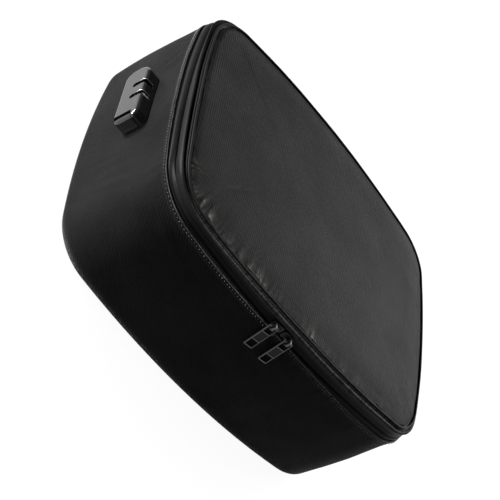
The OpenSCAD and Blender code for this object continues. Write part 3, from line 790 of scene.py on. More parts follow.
turns = np.linspace(0, quarter, 9)
inner_r = base_r - cover_t
outside = [(base_r * (1 - math.sin(a)), base_r * (1 - math.cos(a))) for a in turns]
outside += [(0, z) for z in np.linspace(base_r, seam_z, 44)[1:]]
inside = [(cover_t, z) for z in np.linspace(seam_z, base_r, 12)[:-1]]
inside += [(base_r - inner_r * math.sin(a), base_r - inner_r * math.cos(a)) for a in turns[::-1]]
side_cloth = sweep("side_cloth", outside + inside, step=2.6)
move_wall(side_cloth)
dress(side_cloth, wall_cloth, "bag", ["side_cover"])
base_cloth = slab("base_cloth", base_r, 0, cover_t, 0.3)
dress(base_cloth, wall_cloth, "bag", ["base_cover"], flat=True)


# %% [markdown]
# ## The mouth hem
# The band's top edge is folded over and topstitched, and along the mouth the fold shows a thin pale
# line, which is a painted highlight. The hem is a flat loop of cloth with a round top, moved out with
# the wall. The painted highlight is strongest along the front, weaker round its two corners, and
# faint elsewhere.

# %% Hem
# The zip's strip lies flat round the near corner and along the front, where edges get a painted
# highlight.
# Each stretch: where its share of 1 begins, is full, is full for the last time, and ends
FLAT = (STARTS[NEAR_CORNER] - 18 * mm, STARTS[NEAR_CORNER] + 30 * mm,
        STARTS[FRONT + 1] + 30 * mm, STARTS[FRONT + 2] + 40 * mm)
HIGHLIGHT_STRETCH = (STARTS[FRONT] - 40 * mm, STARTS[FRONT] + 30 * mm,
          STARTS[FRONT + 1] - 30 * mm, STARTS[FRONT + 1] + 40 * mm)


def stretch_share(along, stretch):
    """1 on a stretch of the outline and 0 off it, smooth at its ends."""
    begin, full, last, end = stretch
    return smooth_step(along, begin, full) * smooth_step(along, end, last)


def paint_highlight(piece, amount):
    """Notes how strong the painted highlight is at each vertex, from 0 to 1, for its finish to read.
    """
    layer = piece.data.attributes.new("painted_highlight", "FLOAT", "POINT")
    layer.data.foreach_set("value", np.clip(amount, 0, 1))


hem_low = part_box("mouth_hem")[0].z / mm
hem_profile = rounded([(0.6, hem_low, 0.2), (0.02, hem_low, 0.1), (-0.42, seam_z - 2.2, 2.0),
                       (-0.7, seam_z + 0.45, 0.6), (0.9, seam_z + 0.3, 0.4)])
mouth_hem_cloth = sweep("mouth_hem_cloth", hem_profile, step=2.6)
places, along, inset = on_cloth(mouth_hem_cloth)
# A painted highlight on the fold's top, with its share along the outline
fold_highlight = smooth_step(places[:, 2], seam_z * mm, (seam_z + 0.35) * mm)
highlight_share = 0.1 + 0.2 * stretch_share(along, FLAT) + 0.7 * stretch_share(along, HIGHLIGHT_STRETCH)
paint_highlight(mouth_hem_cloth, fold_highlight * highlight_share)
move_wall(mouth_hem_cloth)
dress(mouth_hem_cloth, highlit_hem_cloth, "bag", ["mouth_hem"])


# %% [markdown]
# ## Zip lips
# The zip is hidden between two soft rolls, one on the body and one on the lid. On the short sides
# they stand full, with a dark valley between them where the coil runs. Along the front they are
# drawn flat and close over the zip, so that they look like one rounded strip. Both shapes are drawn
# as a profile with the same count of points; the roll is spun with the first and then eased towards
# the second where the strip lies flat. The flat shape leaves room for the sliders' front plates.

# %% Lips
def lip(name, full, flat, body, seed, spots):
    """A roll along the zip, full or flat, with slow waves in its cloth."""
    first, second = (np.array(rounded([(x, zip_z + z, r) for x, z, r in corners]))
                     for corners in (full, flat))
    piece = sweep(name, first, zip_arcs, step=2.6)
    places, along, inset = on_cloth(piece)
    here = np.column_stack([inset, places[:, 2]]) / mm
    nearest = np.argmin(((here[:, None] - first[None]) ** 2).sum(2), axis=1)
    change = (second - first)[nearest] * mm * stretch_share(along, FLAT)[:, None]
    inset, height = inset + change[:, 0], places[:, 2] + change[:, 1]
    ripple = 0.22 * waves(along, height, 38, seed) + 0.1 * waves(along, height * 0.3, 9, seed + 1)
    from_zip = np.abs(height - zip_z * mm)
    in_front = smooth_step(inset, 4.2 * mm, 2.8 * mm)
    shift = ripple * mm * in_front * smooth_step(from_zip, 3.5 * mm, 4.5 * mm)
    far = smooth_step(from_zip, 3.7 * mm, 7.2 * mm)
    height = height + (lift_at(along, spots) + 0.16 * waves(along, height, 30, seed + 2) * mm) * far
    set_points(piece, at_outline(along, inset - shift, height))
    # Painted light on the upper roll along the front: a faint lightening that grows up the strip, and
    # a painted highlight on its ridge
    if body == "lid":
        rise = places[:, 2] / mm - zip_z
        ridge = 0.16 * smooth_step(rise, 1, 5) + 0.84 * smooth_step(rise, 5.9, 6.9)
        paint_highlight(piece, ridge * stretch_share(along, HIGHLIGHT_STRETCH))
    dress(piece, highlit_lip_cloth, body, [name.replace("_", "_zip_")], angle=50)


lower_back = [(5.3, -2.75, 0.1), (7.5, -2.75, 0.1), (7.5, -7.8, 0.1), (3.7, -7.8, 0.2)]
upper_back = [(6.45, 4.9, 0.3), (6.5, 7.9, 0.2), (7.5, 7.9, 0.1), (7.5, 2.75, 0.1),
              (5.3, 2.75, 0.1)]
lip("lower_lip",
    [(3.6, -5.8, 0.6), (0.9, -6.1, 1.4), (0.3, -3.5, 2.4), (2.0, -1.5, 1.8), (4.3, -0.7, 0.8),
     (5.3, -0.7, 0.2)] + lower_back,
    [(3.6, -5.8, 0.6), (1.0, -6.3, 1.2), (1.2, -4.8, 2.4), (2.85, -3.4, 2.2), (2.95, -0.12, 0.1),
     (5.3, -0.12, 0.1)] + lower_back, "bag", 11, CREASE_LIFT)
lip("upper_lip",
    [(5.3, 0.7, 0.2), (4.3, 0.8, 0.8), (2.6, 1.8, 1.2), (1.7, 4.0, 2.2), (2.0, 6.6, 1.7),
     (4.3, 6.5, 0.8), (5.7, 4.7, 0.5)] + upper_back,
    [(5.3, 0.12, 0.1), (2.95, 0.12, 0.1), (2.85, 3.4, 1.0), (2.2, 4.7, 1.4), (3.3, 6.9, 2.0),
     (5.0, 7.6, 0.5), (5.7, 4.9, 0.5)] + upper_back, "lid", 21, PIPING_LIFT)


# %% [markdown]
# ## Piping
# The piping is a cord in a strip of cloth, sewn between the lid's panel and the upper roll of the
# zip. It is spun like the rest and then moved a hair in and out, as a hand-fed seam is.

# %% Piping
ring = [(piping_inset + piping_r * math.cos(a), piping_z + piping_r * math.sin(a))
        for a in (k * quarter / 3 for k in range(12))]
lid_piping_cord = sweep("lid_piping_cord", ring, step=2.2)
places, along, inset = on_cloth(lid_piping_cord)
height = places[:, 2]
sway = 0.3 * waves(along, height, 26, 31) * mm
set_points(lid_piping_cord, at_outline(along, inset - sway, height + lift_at(along, PIPING_LIFT)))
# A faint painted highlight on the piping's upper outer side, along the front
top_highlight = smooth_step(height, piping_z * mm, piping_high * mm)
top_highlight *= smooth_step(inset, (piping_inset + 0.5) * mm, (piping_inset - 0.3) * mm)
paint_highlight(lid_piping_cord, 0.3 * top_highlight * stretch_share(along, HIGHLIGHT_STRETCH))
dress(lid_piping_cord, highlit_lip_cloth, "lid", ["lid_piping"])


# %% [markdown]
# ## Zip tape and coil
# Each side of the zip is a strip of woven tape with a nylon coil sewn along its edge. The coil is
# what closes: a row of little loops that reach across the gap. One loop is bent from a torus and
# then copied along the zip, with a few dozen faces only, because there are hundreds.

# %% Tapes
def upright_band(name, node, sizes, arcs, material, body, soft=0.2):
    """A band inside the wall. sizes: its depth, thickness, low and high edge in mm."""
    depth, thick, low, high = sizes
    rise = np.linspace(low + soft, high - soft, max(2, round((high - low) / 6)))
    profile = [(depth + soft, low)] + [(depth, z) for z in rise] + [(depth + soft, high)]
    profile += [(depth + thick - soft, high)] + [(depth + thick, z) for z in rise[::-1]]
    profile += [(depth + thick - soft, low)]
    return dress(sweep(name, profile, arcs, step=5), material, body, [node])


def sizes_of(node):
    """A node's depth inside the outline, its thickness, and its low and high edge, in mm."""
    places, _, inset = on_cloth(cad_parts[node])
    low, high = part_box(node)
    return inset.min() / mm, (inset.max() - inset.min()) / mm, low.z / mm, high.z / mm


tape_depth, tape_t = sizes_of("lower_zip_tape")[:2]
for half, body in (("lower", "bag"), ("upper", "lid")):
    sizes = (tape_depth, tape_t, *sizes_of(f"{half}_zip_tape")[2:])
    upright_band(f"{half}_tape", f"{half}_zip_tape", sizes, zip_arcs, tape_cloth, body)


# %% Coil
coil_depth, coil_t, coil_low, coil_high = sizes_of("lower_zip_coil")
coil_pitch, loop_r = 1.6 * mm, coil_t / 2 * 0.78


def coil_loop(name, height, reach):
    """One loop of the coil, at the start of the zip: a flattened ring across the zip's line."""
    place = at_outline(1e-9, (coil_depth + coil_t / 2) * mm, height * mm)[0]
    loop = done(primitive("torus", name, major_segments=10, minor_segments=5,
                          major_radius=loop_r * mm, minor_radius=0.24 * mm,
                          location=place, rotation=(quarter, 0, 0)))
    tall = (coil_high - coil_low - 0.5) / (2 * loop_r)
    places = points(loop)
    places[:, 2] = height * mm + (places[:, 2] - height * mm) * tall
    near = smooth_step(places[:, 2], (height + reach * 0.2) * mm, (height + reach) * mm)
    places[:, 1] += near * 0.25 * coil_pitch * np.sign(reach)
    set_points(loop, places)
    return loop


def row_of(name, one, pitch, length):
    """Copies of one small piece along the outline, joined into one piece."""
    base, along, inset = on_cloth(one)
    along = np.where(along > round_trip / 2, along - round_trip, along)
    pattern = [tuple(face.vertices) for face in one.data.polygons]
    verts, faces = [], []
    for k in range(int(length / pitch)):
        faces += [[v + len(verts) for v in face] for face in pattern]
        verts += at_outline(along + (k + 0.5) * pitch, inset, base[:, 2]).tolist()
    mesh = bpy.data.meshes.new(name)
    mesh.from_pydata(verts, [], faces)
    mesh.update()
    bpy.data.objects.remove(one)
    return linked(name, mesh)


for half, body, reach in (("lower", "bag", 0.9), ("upper", "lid", -0.9)):
    node = f"{half}_zip_coil"
    loop = coil_loop(f"{half}_loop", sum(sizes_of(node)[2:]) / 2, reach)
    dress(row_of(f"{half}_coil", loop, coil_pitch, zip_length), nylon, body, [node])


# %% [markdown]
# ## Stitches
# The hem's topstitching is a row of short thread bumps, sunk into the cloth at both ends. One stitch
# is a squashed ball; the row is copies of it, moved with the wall.

# %% Topstitching
stitch_pitch, stitch_z = 3.4 * mm, (seam_z - 1.5) * mm
stitch = primitive("uv_sphere", "stitch", segments=6, ring_count=4, radius=1,
                   rotation=(quarter, 0, 0), location=at_outline(1e-9, -0.5 * mm, stitch_z)[0])
stitch.scale = (0.2 * mm, 0.24 * mm, 0.36 * stitch_pitch)
hem_stitches = row_of("hem_stitches", done(stitch), stitch_pitch, round_trip - 0.4 * stitch_pitch)
places, along, inset = on_cloth(hem_stitches)
swell = wall_swell(along, np.full(len(along), stitch_z))
height = places[:, 2] + lift_at(along, CREASE_LIFT)
set_points(hem_stitches, at_outline(along, inset - swell, height))
dress(hem_stitches, thread, "bag")


# %% [markdown]
# ## The padded lid
# The lid's panel is foam under cloth, sewn down all round inside the piping. The cloth is cut a
# little too long and eased into the seam, so it puckers there: strongly along the front and round
# the near corner, where the seam pulls most, and hardly at the back. A cloth simulation makes such
# folds by itself. The panel starts as a low crowned block, is remeshed into even squares, held at its
# seam and, more softly, by the foam, made up to a tenth longer near the seam, and blown up.

# %% The block that becomes the lid
panel_inset = piping_inset + piping_r + 0.1


def crowned_block(name, edge, top, bottom, rises):
    """A closed block inside the outline. Its top rises inwards by (inset, height) steps in mm."""
    side = [(edge + 4, bottom), (edge, bottom + 1), (edge, top - 0.6)]
    side += [(edge + x, top + z) for x, z in rises]
    return capped(sweep(name, side, step=5, shut=False), bottom, side[-1][1])


crown = [(0.5, -0.2), (2.5, 0.6), (6, 1.3), (12, 2.3), (26, 3.4)]
panel_cloth = crowned_block("panel_cloth", panel_inset, piping_z, piping_z - 9, crown)
modify(panel_cloth, "REMESH", mode="VOXEL", voxel_size=3.8 * mm)
edit(panel_cloth)
pick(panel_cloth, lambda vertex: vertex.co.z < (piping_z - 2.5) * mm)
bpy.ops.mesh.delete(type="VERT")
done(panel_cloth)
panel_top = points(panel_cloth)[:, 2].max() / mm
print("panel:", len(panel_cloth.data.vertices), "vertices, top at", round(panel_top, 2), "mm")


# %% Cloth simulation
def inflated(piece, held, eased, pressure=4.0, ease=-0.1, frames=20, most=5.0):
    """Blows the piece up as cloth, by at most so many mm. held and eased say from 0 to 1 how
    firmly each vertex is held and how much longer its cloth is."""
    rest = points(piece)
    for name, weights in (("held", held), ("eased", eased)):
        group = piece.vertex_groups.new(name=name)
        for index, weight in enumerate(weights):
            group.add([index], float(weight), "REPLACE")
    only(piece)
    cloth = piece.modifiers.new("Cloth", "CLOTH")
    rules = {"quality": 5, "mass": 0.004, "tension_stiffness": 12, "compression_stiffness": 12,
             "shear_stiffness": 4, "bending_stiffness": 0.01, "vertex_group_mass": "held",
             "vertex_group_shrink": "eased", "shrink_min": 0.0, "shrink_max": ease,
             "use_pressure": True, "uniform_pressure_force": pressure}
    for key, value in rules.items():
        setattr(cloth.settings, key, value)
    cloth.settings.effector_weights.gravity = 0.0
    cloth.point_cache.frame_start, cloth.point_cache.frame_end = 1, frames
    for frame_number in range(1, frames + 1):
        bpy.context.scene.frame_set(frame_number)
    bpy.ops.object.modifier_apply(modifier=cloth.name)
    bpy.context.scene.frame_set(1)
    piece.vertex_groups.clear()
    moved = points(piece) - rest
    length = np.maximum(np.linalg.norm(moved, axis=1, keepdims=True), 1e-9)
    set_points(piece, rest + moved * np.minimum(1.0, most * mm / length))
    print(f"{piece.name}: moved {length.mean() / mm:.2f} mm on average")


rest, _, inset = on_cloth(panel_cloth)
held = 0.01 + 0.12 * smooth_step(inset, (panel_inset + 2) * mm, (panel_inset + 40) * mm)
held[(rest[:, 2] < (piping_z - 0.2) * mm) | (inset < (panel_inset + 1.2) * mm)] = 1.0
eased = 1.0 - smooth_step(inset, (panel_inset + 8) * mm, (panel_inset + 34) * mm)
inflated(panel_cloth, held, eased)


# %% [markdown]
# ## Tucks along the seam
# Voxels are too coarse for the small tucks beside the piping, so they come after the simulation, on
# a subdivided mesh. A tuck runs square to the seam, is deepest beside it and dies away over a
# centimetre or two. How strong the tucks are along the seam is read from the photograph: a list of
# places with a strength, worked into one smooth value. The crests of the tucks get a pale painted
# highlight.

# %% Tucks
corner_mm = (STARTS[NEAR_CORNER] + LENGTHS[NEAR_CORNER] / 2) / mm
front_mm = front_middle / mm
# Each spot: its middle along the outline and half its width, in mm, and its strength
TUCK_SPOTS = [(corner_mm - 22, 12, 0.6), (corner_mm + 18, 26, 1.0), (corner_mm + 62, 30, 0.9),
              (front_mm - 70, 26, 0.7), (front_mm + 2, 8, 1.4), (front_mm + 60, 60, 0.3)]
even_strength = 0.14
# Steps inwards from the seam and up from the piping's middle, in mm
BORDER = [(-1.0, -0.9), (0.0, -0.5), (2.0, 0.2), (5.0, 0.95), (8.0, 1.6), (12.0, 2.3), (26.0, 3.4)]


def fading(beside, reach):
    """1 at the seam, less the further inside it, with this reach in mm."""
    return np.exp(-np.maximum(beside, 0) / (reach * mm))


def tucked(piece, deepest):
    """Presses small tucks into the cloth beside the seam, in metres at the strongest."""
    places, along, inset = on_cloth(piece)
    beside = inset - panel_inset * mm
    strength = np.full(len(along), even_strength)
    for middle, half, more in TUCK_SPOTS:
        strength += more * np.exp(-(past(along, middle * mm) / (half * mm)) ** 2)
    fold = waves(along, beside * 0.12, 6.5, 41) + 0.5 * waves(along, beside * 0.2, 3.2, 42)
    fold = np.maximum(fold, 0) * 1.4 + np.minimum(fold, 0) * 0.6
    fade = smooth_step(beside, 0, 2.5 * mm) * fading(beside, 9)
    dent = 0.5 * waves(along, beside, 22, 43) * fading(beside, 30)
    fine = waves(along, beside * 0.25, 2.6, 44)
    # A pale painted highlight on the tucks' crests, near the seam
    paint_highlight(piece, (1.6 * fold + 0.9 * fine + 0.4) * fade * (strength - 0.18) * fading(beside, 7))
    places[:, 2] += (fold * fade * strength + 0.4 * dent * fade ** 0.3 * strength) * deepest
    places[:, 2] += lift_at(along, PIPING_LIFT) * fading(beside, 40)
    set_points(piece, places)


def bordered(piece):
    """Brings the cloth beside the seam, which the voxels left uneven, back to one smooth slope."""
    places, _, inset = on_cloth(piece)
    beside = inset / mm - panel_inset
    slope = (np.interp(beside, *np.array(BORDER).T) + piping_z) * mm
    share = smooth_step(beside, 12, 6) * (places[:, 2] > (piping_z - 1.4) * mm)
    places[:, 2] += (slope - places[:, 2]) * share
    set_points(piece, places)


modify(panel_cloth, "SUBSURF", levels=1, render_levels=1)
bordered(panel_cloth)
depths = on_cloth(panel_cloth)[2]
edit(panel_cloth, "FACE")
border = (panel_inset + 17) * mm
pick(panel_cloth, lambda face: max(depths[v] for v in face.vertices) < border, "polygons")
bpy.ops.mesh.subdivide(number_cuts=1, smoothness=1.0)
done(panel_cloth)
tucked(panel_cloth, 1.7 * mm)
modify(panel_cloth, "SOLIDIFY", thickness=0.9 * mm, offset=-1.0)
dress(panel_cloth, lid_cloth, "lid", ["lid_cover"], angle=60, flat=True)
print("lid's top at", round(points(panel_cloth)[:, 2].max() / mm, 2), "mm")


# %% [markdown]
# ## The cloth hinge
# Along the rear the lid is joined to the body by cloth alone. It has to bend when the lid opens, so
# it is made with many rows, and it rides on neither the body nor the lid.

# %% Hinge cloth and its lining
def hinge_strip(name, path, thick, material, node):
    """A cloth strip along the rear, with no body of its own, on a path of (inset, height) points in
    mm.
    """
    heights = np.linspace(path[0][1], path[-1][1], 18)
    insets = np.interp(heights, [z for _, z in path], [x for x, _ in path])
    smooth = np.convolve(np.pad(insets, 2, mode="edge"), np.ones(5) / 5, "valid")
    outer = list(zip(smooth, heights))
    strip = sweep(name, outer + [(x + thick, z) for x, z in outer[::-1]], hinge_arcs)
    dress(strip, material, None, [node], angle=50)
    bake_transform(strip)


cloth_path = [(1.0, seam_z + 0.1), (0.4, seam_z + 4), (1.0, seam_z + 8), (3.4, seam_z + 12),
              (5.9, piping_z - piping_r - 0.1)]
hinge_strip("rear_hinge_cloth", cloth_path, 1.0, wall_cloth, "hinge_cloth")
depth, _, low, high = sizes_of("hinge_liner")
lining_path = [(depth, low), (depth, high)]
hinge_strip("rear_hinge_lining", lining_path, 0.8, liner_cloth, "hinge_liner")


# %% [markdown]
# ## Layers inside
# An open bag shows its lining and the bound edge of the mouth; behind them lie felt and boards. Each
# soft layer is spun again with rounded edges and gets its own finish. A layer's top edge sinks where
# the seam in front of it does. The boards are stiff and keep their construction shapes.

# %% Standing layers
for name, node, material, body, slot, spots in (
        ("wall_felt", "wall_insulation", insulation_felt, "bag", "insulation", CREASE_LIFT),
        ("wall_lining", "wall_liner", liner_cloth, "bag", "liner", CREASE_LIFT),
        ("mouth_tape", "mouth_binding", binding_cloth, "bag", "liner", CREASE_LIFT),
        ("lid_edge_felt", "lid_rim", insulation_felt, "lid", "insulation", PIPING_LIFT)):
    sizes = sizes_of(node)
    soft = min(0.35, 0.3 * sizes[1])
    sunk(upright_band(name, node, sizes, all_arcs, material, body, soft), spots)


# %% Flat layers
for name, node, material, body, slot in (
        ("base_felt", "base_insulation", insulation_felt, "bag", "insulation"),
        ("base_lining", "base_liner", liner_cloth, "bag", "liner"),
        ("lid_felt", "lid_insulation", insulation_felt, "lid", "insulation"),
        ("lid_lining", "lid_liner", liner_cloth, "lid", "liner")):
    depth, _, low, high = sizes_of(node)
    layer = slab(name, depth, low, high, 0.3 * (high - low))
    dress(layer, material, body, [node], flat=True)
    if name == "lid_felt":
        sunk(layer, PIPING_LIFT)

foam_top = [(0.6, -0.3), (3, 0.1), (10, 0.7), (30, 1.4)]
pad_foam = crowned_block("pad_foam", panel_inset + 5, piping_z - 0.9, piping_z - 1.6, foam_top)
places, along, inset = on_cloth(pad_foam)
places[:, 2] += lift_at(along, PIPING_LIFT) * fading(inset - panel_inset * mm, 40)
set_points(pad_foam, places)
dress(pad_foam, insulation_felt, "lid", ["lid_pad"], flat=True)


# %% [markdown]
# ## Hard parts: blocks and cuts
# The lock, the sliders and their pulls are moulded and die-cast, with small even roundings on every
# edge. Each is drawn in its own simple directions, from blocks that are cut by other blocks. The
# edges are rounded last, because a rounding before a cut would be cut through, and only then is the
# piece put in its place.

# %% Blocks, plans and cuts
def block(name, low, high):
    """A box between two corners in mm."""
    low, high = Vector(low) * mm, Vector(high) * mm
    piece = primitive("cube", name, size=1, location=(low + high) / 2)
    piece.scale = high - low
    return done(piece)


def plate(name, plan, low, high):
    """A plan, a closed list of (x, y), raised between two heights, in mm."""
    piece = primitive("circle", name, vertices=len(plan), radius=mm, fill_type="NGON")
    set_points(piece, [(x * mm, y * mm, low * mm) for x, y in plan])
    edit(piece, "FACE", "SELECT")
    bpy.ops.mesh.extrude_region_move(TRANSFORM_OT_translate={"value": (0, 0, (high - low) * mm)})
    facing_out()
    return done(piece)


def cut(piece, cutter, how="DIFFERENCE"):
    """Takes the cutter's room out of the piece, or keeps only that room."""
    modify(piece, "BOOLEAN", operation=how, solver="EXACT", object=cutter)
    bpy.data.objects.remove(cutter)


def softened(piece, width, segments=2, angle=35):
    """Rounds every edge that is sharper than this angle."""
    return modify(piece, "BEVEL", width=width * mm, segments=segments, limit_method="ANGLE",
                  angle_limit=math.radians(angle))


def joined(name, pieces):
    """Makes one piece of several."""
    only(pieces[0])
    for piece in pieces:
        piece.select_set(True)
    bpy.ops.object.join()
    return named(pieces[0], name)


def placed(piece, place):
    """Puts a piece that was drawn in its own directions in its place on the bag."""
    piece.matrix_world = place
    return done(piece)


print("blocks and cuts ready")


# %% [markdown]
# ## The zip lock
# A moulded casing with one round and one squarer end stands on the short side. The pulls are pushed
# into two slots that run in over its edge. A thin bright metal lip along each slot's edge is a
# painted highlight, standing in for the light on that edge. The release button is at the squarer
# end. The casing roofs over its inner part, so only a gap and the button's end cap show; the faces
# inside the slots and the gap get a dark dull paint as painted shade. A shallow dull panel runs over
# the end, and its paint is lighter than the casing's as painted light. In the lock's own directions X
# runs along it to the button, Y towards the lid, and Z out of the wall.

# %% The lock's directions and its outer form
lock_place = Matrix(((0, 0, -1, -side_x), (-1, 0, 0, lock_middle.y),
                     (0, 1, 0, lock_middle.z), (0, 0, 0, 1)))
lock_long, lock_wide = (lock_high.y - lock_low.y) / mm, (lock_high.z - lock_low.z) / mm
lock_top, lock_foot = (-side_x - lock_low.x) / mm, (-side_x - lock_high.x) / mm
lock_wall, round_end, square_end, lock_edge = 1.6, 11.0, 7.5, 3.0
button_start, button_side, button_foot, button_gap = lock_long / 2 - 13.2, 6.6, 5.4, 3.2
cap_start, flank = lock_long / 2 - 2.9, -lock_wide / 2
beyond = 60
END_PANEL = (lock_long / 2 - 0.6, flank + 3.0, 1.6), (beyond, button_side - 0.8, lock_top - 3.2)


def lock_form(name, shrink, low, high, edge, segments=7):
    """The lock's outer form, made smaller all round by shrink, with a rounded top edge."""
    x, y = lock_long / 2 - shrink, lock_wide / 2 - shrink
    plan = rounded([(-x, -y, round_end - shrink), (x, -y, square_end - shrink),
                    (x, y, square_end - shrink), (-x, y, round_end - shrink)], steps=10)
    piece = plate(name, plan, low, high)
    edit(piece, "EDGE")
    heights = points(piece)[:, 2]
    pick(piece, lambda side: min(heights[v] for v in side.vertices) > high * mm - 1e-6, "edges")
    bpy.ops.mesh.bevel(offset=edge * mm, segments=segments, profile=0.5, affect="EDGES")
    return done(piece)


casing = lock_form("lock_shell", 0, lock_foot, lock_top, lock_edge)
cut(casing, lock_form("hollow", lock_wall, lock_foot - 1, lock_top - lock_wall, 2.0, 3))
print("casing in mm:", [round(v, 1) for v in (lock_long, lock_wide, lock_top - lock_foot)])


# %% Slots, dial windows and the button's room
SLOTS, slot_wide, slot_in, slot_foot, pit_r = (-10.0, 6.0), 4.8, 2.3, 4.2, 2.8
DIALS, window_wide, window_r, dial_level = (-22.0, -15.5, -9.0), 4.6, 5.3, 7.4
# An open gap beside the end cap, and a room under the casing's roof
ROOM = [((cap_start - 5.4, -30, button_foot - 0.2), (beyond, button_side + 0.5, 40)),
        ((button_start - button_gap, flank + 1.5, button_foot - 0.2),
         (beyond, button_side + 0.5, lock_top - 1.6))]
for low, high in ROOM:
    cut(casing, block("room", low, high))
for x in SLOTS:
    left, right = x - slot_wide / 2, x + slot_wide / 2
    cut(casing, block("slot", (left, slot_in, slot_foot), (right, 30, 40)))
    pit = primitive("cylinder", "pit", vertices=32, radius=pit_r * mm, depth=8 * mm,
                    location=Vector((x, slot_in, lock_top)) * mm)
    cut(casing, done(pit))
for x in DIALS:
    cut(casing, block("window", (x - window_wide / 2, -30, dial_level - window_r),
                      (x + window_wide / 2, flank + 1.2, dial_level + window_r)))
softened(casing, 0.3)
cut(casing, block("recess", *END_PANEL))
dress(placed(casing, lock_place), case_paint, "bag", ["lock_casing"], angle=35,
      hard=True)


# %% Painted shade inside the cuts, and painted light on the end panel
def paint_cut_shade_and_panel_light(piece, inside):
    """Gives the faces inside a cut a dark dull paint as painted shade, and the end panel a lighter
    paint as painted light. The test is in the lock's directions, in mm."""
    piece.data.materials.append(shade_paint)
    piece.data.materials.append(panel_light_paint)
    for face in piece.data.polygons:
        x, y, z = (lock_place.inverted() @ face.center) / mm
        on_panel = abs(x - END_PANEL[0][0]) < 0.2 and END_PANEL[0][2] < z < END_PANEL[1][2]
        face.material_index = 2 if on_panel else int(inside(x, y, z))
    # Counts the faces with the painted shade and the panel's painted light
    dull = sum(face.material_index > 0 for face in piece.data.polygons)
    print(f"{piece.name}: {dull} dull faces")


def in_a_cut(x, y, z):
    """True inside a slot or the button's room, below the casing's rounded top."""
    in_slot = any(abs(x - slot) < pit_r + 0.1 for slot in SLOTS) and y > slot_in - pit_r - 0.1
    in_room = any(all(near - 0.1 < part < far + 0.1
                      for near, part, far in zip(low, (x, y, z), high)) for low, high in ROOM)
    return z < lock_top - 0.25 and (in_slot and y < lock_wide / 2 - 0.3 or in_room)


# Painted shade inside the slots and the button's room
paint_cut_shade_and_panel_light(casing, in_a_cut)


# %% Bright lips on the slots: painted highlights
def wire(name, path, radius):
    """A thin round bar along a path of points in mm."""
    curve = bpy.data.curves.new(name, "CURVE")
    curve.dimensions, curve.bevel_depth, curve.bevel_resolution = "3D", radius * mm, 3
    curve.use_fill_caps = True
    line = curve.splines.new("POLY")
    line.points.add(len(path) - 1)
    for point, place in zip(line.points, path):
        point.co = (*(Vector(place) * mm), 1)
    bar = linked(name, curve)
    only(bar)
    bpy.ops.object.convert(target="MESH")
    return bar


def over_the_edge(x, start, foot, out=0.05):
    """A path on the casing's surface: along its top, over its rounded edge and down its flank."""
    y, z, reach = lock_wide / 2 - lock_edge, lock_top - lock_edge, lock_edge + out
    path = [(x, start, z + reach)]
    path += [(x, y + reach * math.sin(a), z + reach * math.cos(a))
             for a in np.linspace(0, quarter, 9)]
    return path + [(x, y + reach, foot)]


# Bright metal lips along the slots' edges: painted highlights, in place of the light on those edges
lips = [wire("lip", over_the_edge(x - slot_wide / 2 - 0.2, lock_wide / 2 - 6.0, 5.2), 0.36)
        for x in SLOTS]
dress(placed(joined("slot_highlight_lips", lips), lock_place), highlight_metal, "bag", angle=60)


# %% Release button
button = lock_form("button", 0, lock_foot, lock_top, lock_edge)
cut(button, block("keep", (button_start, -30, button_foot), (beyond, button_side, 40)), "INTERSECT")
cut(button, block("step", (button_start - 1, -30, lock_top - 5.0), (cap_start, 30, 40)))
cut(button, block("step", (button_start - 1, -30, 0), (cap_start, flank + 1.8, 40)))
softened(button, 0.45, 3)
cut(button, block("recess", *END_PANEL))
dress(placed(button, lock_place), case_paint, "release", ["release_button"], angle=35,
      hard=True)
# Painted shade on the button's tongue and the cap's inner wall, under the casing's roof
paint_cut_shade_and_panel_light(button, lambda x, y, z: x < cap_start + 0.1)


# %% [markdown]
# ## The latch spring
# A coil spring pushes the latch back out; when the button goes in, its coils close up. Here it is a
# wire along a helix, drawn at rest between the ends of the construction's spring.

# %% Latch spring
spring_low, spring_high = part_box("latch_spring")
spring_middle = (spring_low + spring_high) / 2
wire_r, spring_turns, turn_steps, latch_travel = 0.24, 6, 14, 3 * mm
spring_r = (spring_high.z - spring_low.z) / 2 - wire_r * mm
run = np.linspace(spring_low.y + wire_r * mm, spring_high.y - wire_r * mm,
                  spring_turns * turn_steps + 1)
helix = [((spring_middle.x + spring_r * math.cos(2 * math.pi * k / turn_steps)) / mm, y / mm,
          (spring_middle.z + spring_r * math.sin(2 * math.pi * k / turn_steps)) / mm)
         for k, y in enumerate(run)]
latch_coil = wire("latch_coil", helix, wire_r)
dress(latch_coil, steel, "bag", ["latch_spring"], angle=60)
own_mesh(latch_coil)


# %% [markdown]
# ## Sliders and pulls
# The two sliders are die-cast and blackened, and their bails are a little polished by use. Each has
# a front plate and a back plate joined by a post, and a bail in which its pull swings. A pull is a
# flat bar with a hole at each end, a raised rim and a flatter panel between. They are drawn with X
# along the zip, Y into the bag and Z up, and turned to their place on the front arc.

# %% Places on the front arc
meet_x, slider_long, slider_high, slider_gap, pull_off = -20.6, 11.6, 6.8, 1.4, 3.6
slider_back = tape_depth + tape_t + 0.2
front_radius = reach_long + corner_r


def on_the_front(x):
    """The place on the front arc, this many mm from where the sliders meet."""
    turn = math.asin((meet_x + x) * mm / front_radius)
    middle = Matrix.Translation((0, far_y, zip_z * mm)) @ Matrix.Rotation(turn, 4, "Z")
    return middle @ Matrix.Translation((0, -front_radius, 0))


# Each side: its sign along the zip, its word and its place
SIDES = [(side, word, on_the_front(-side * (slider_long + slider_gap) / 2))
         for side, word in ((1, "left"), (-1, "right"))]
print("sliders at", [tuple(round(v / mm, 1) for v in place.translation) for _, _, place in SIDES])


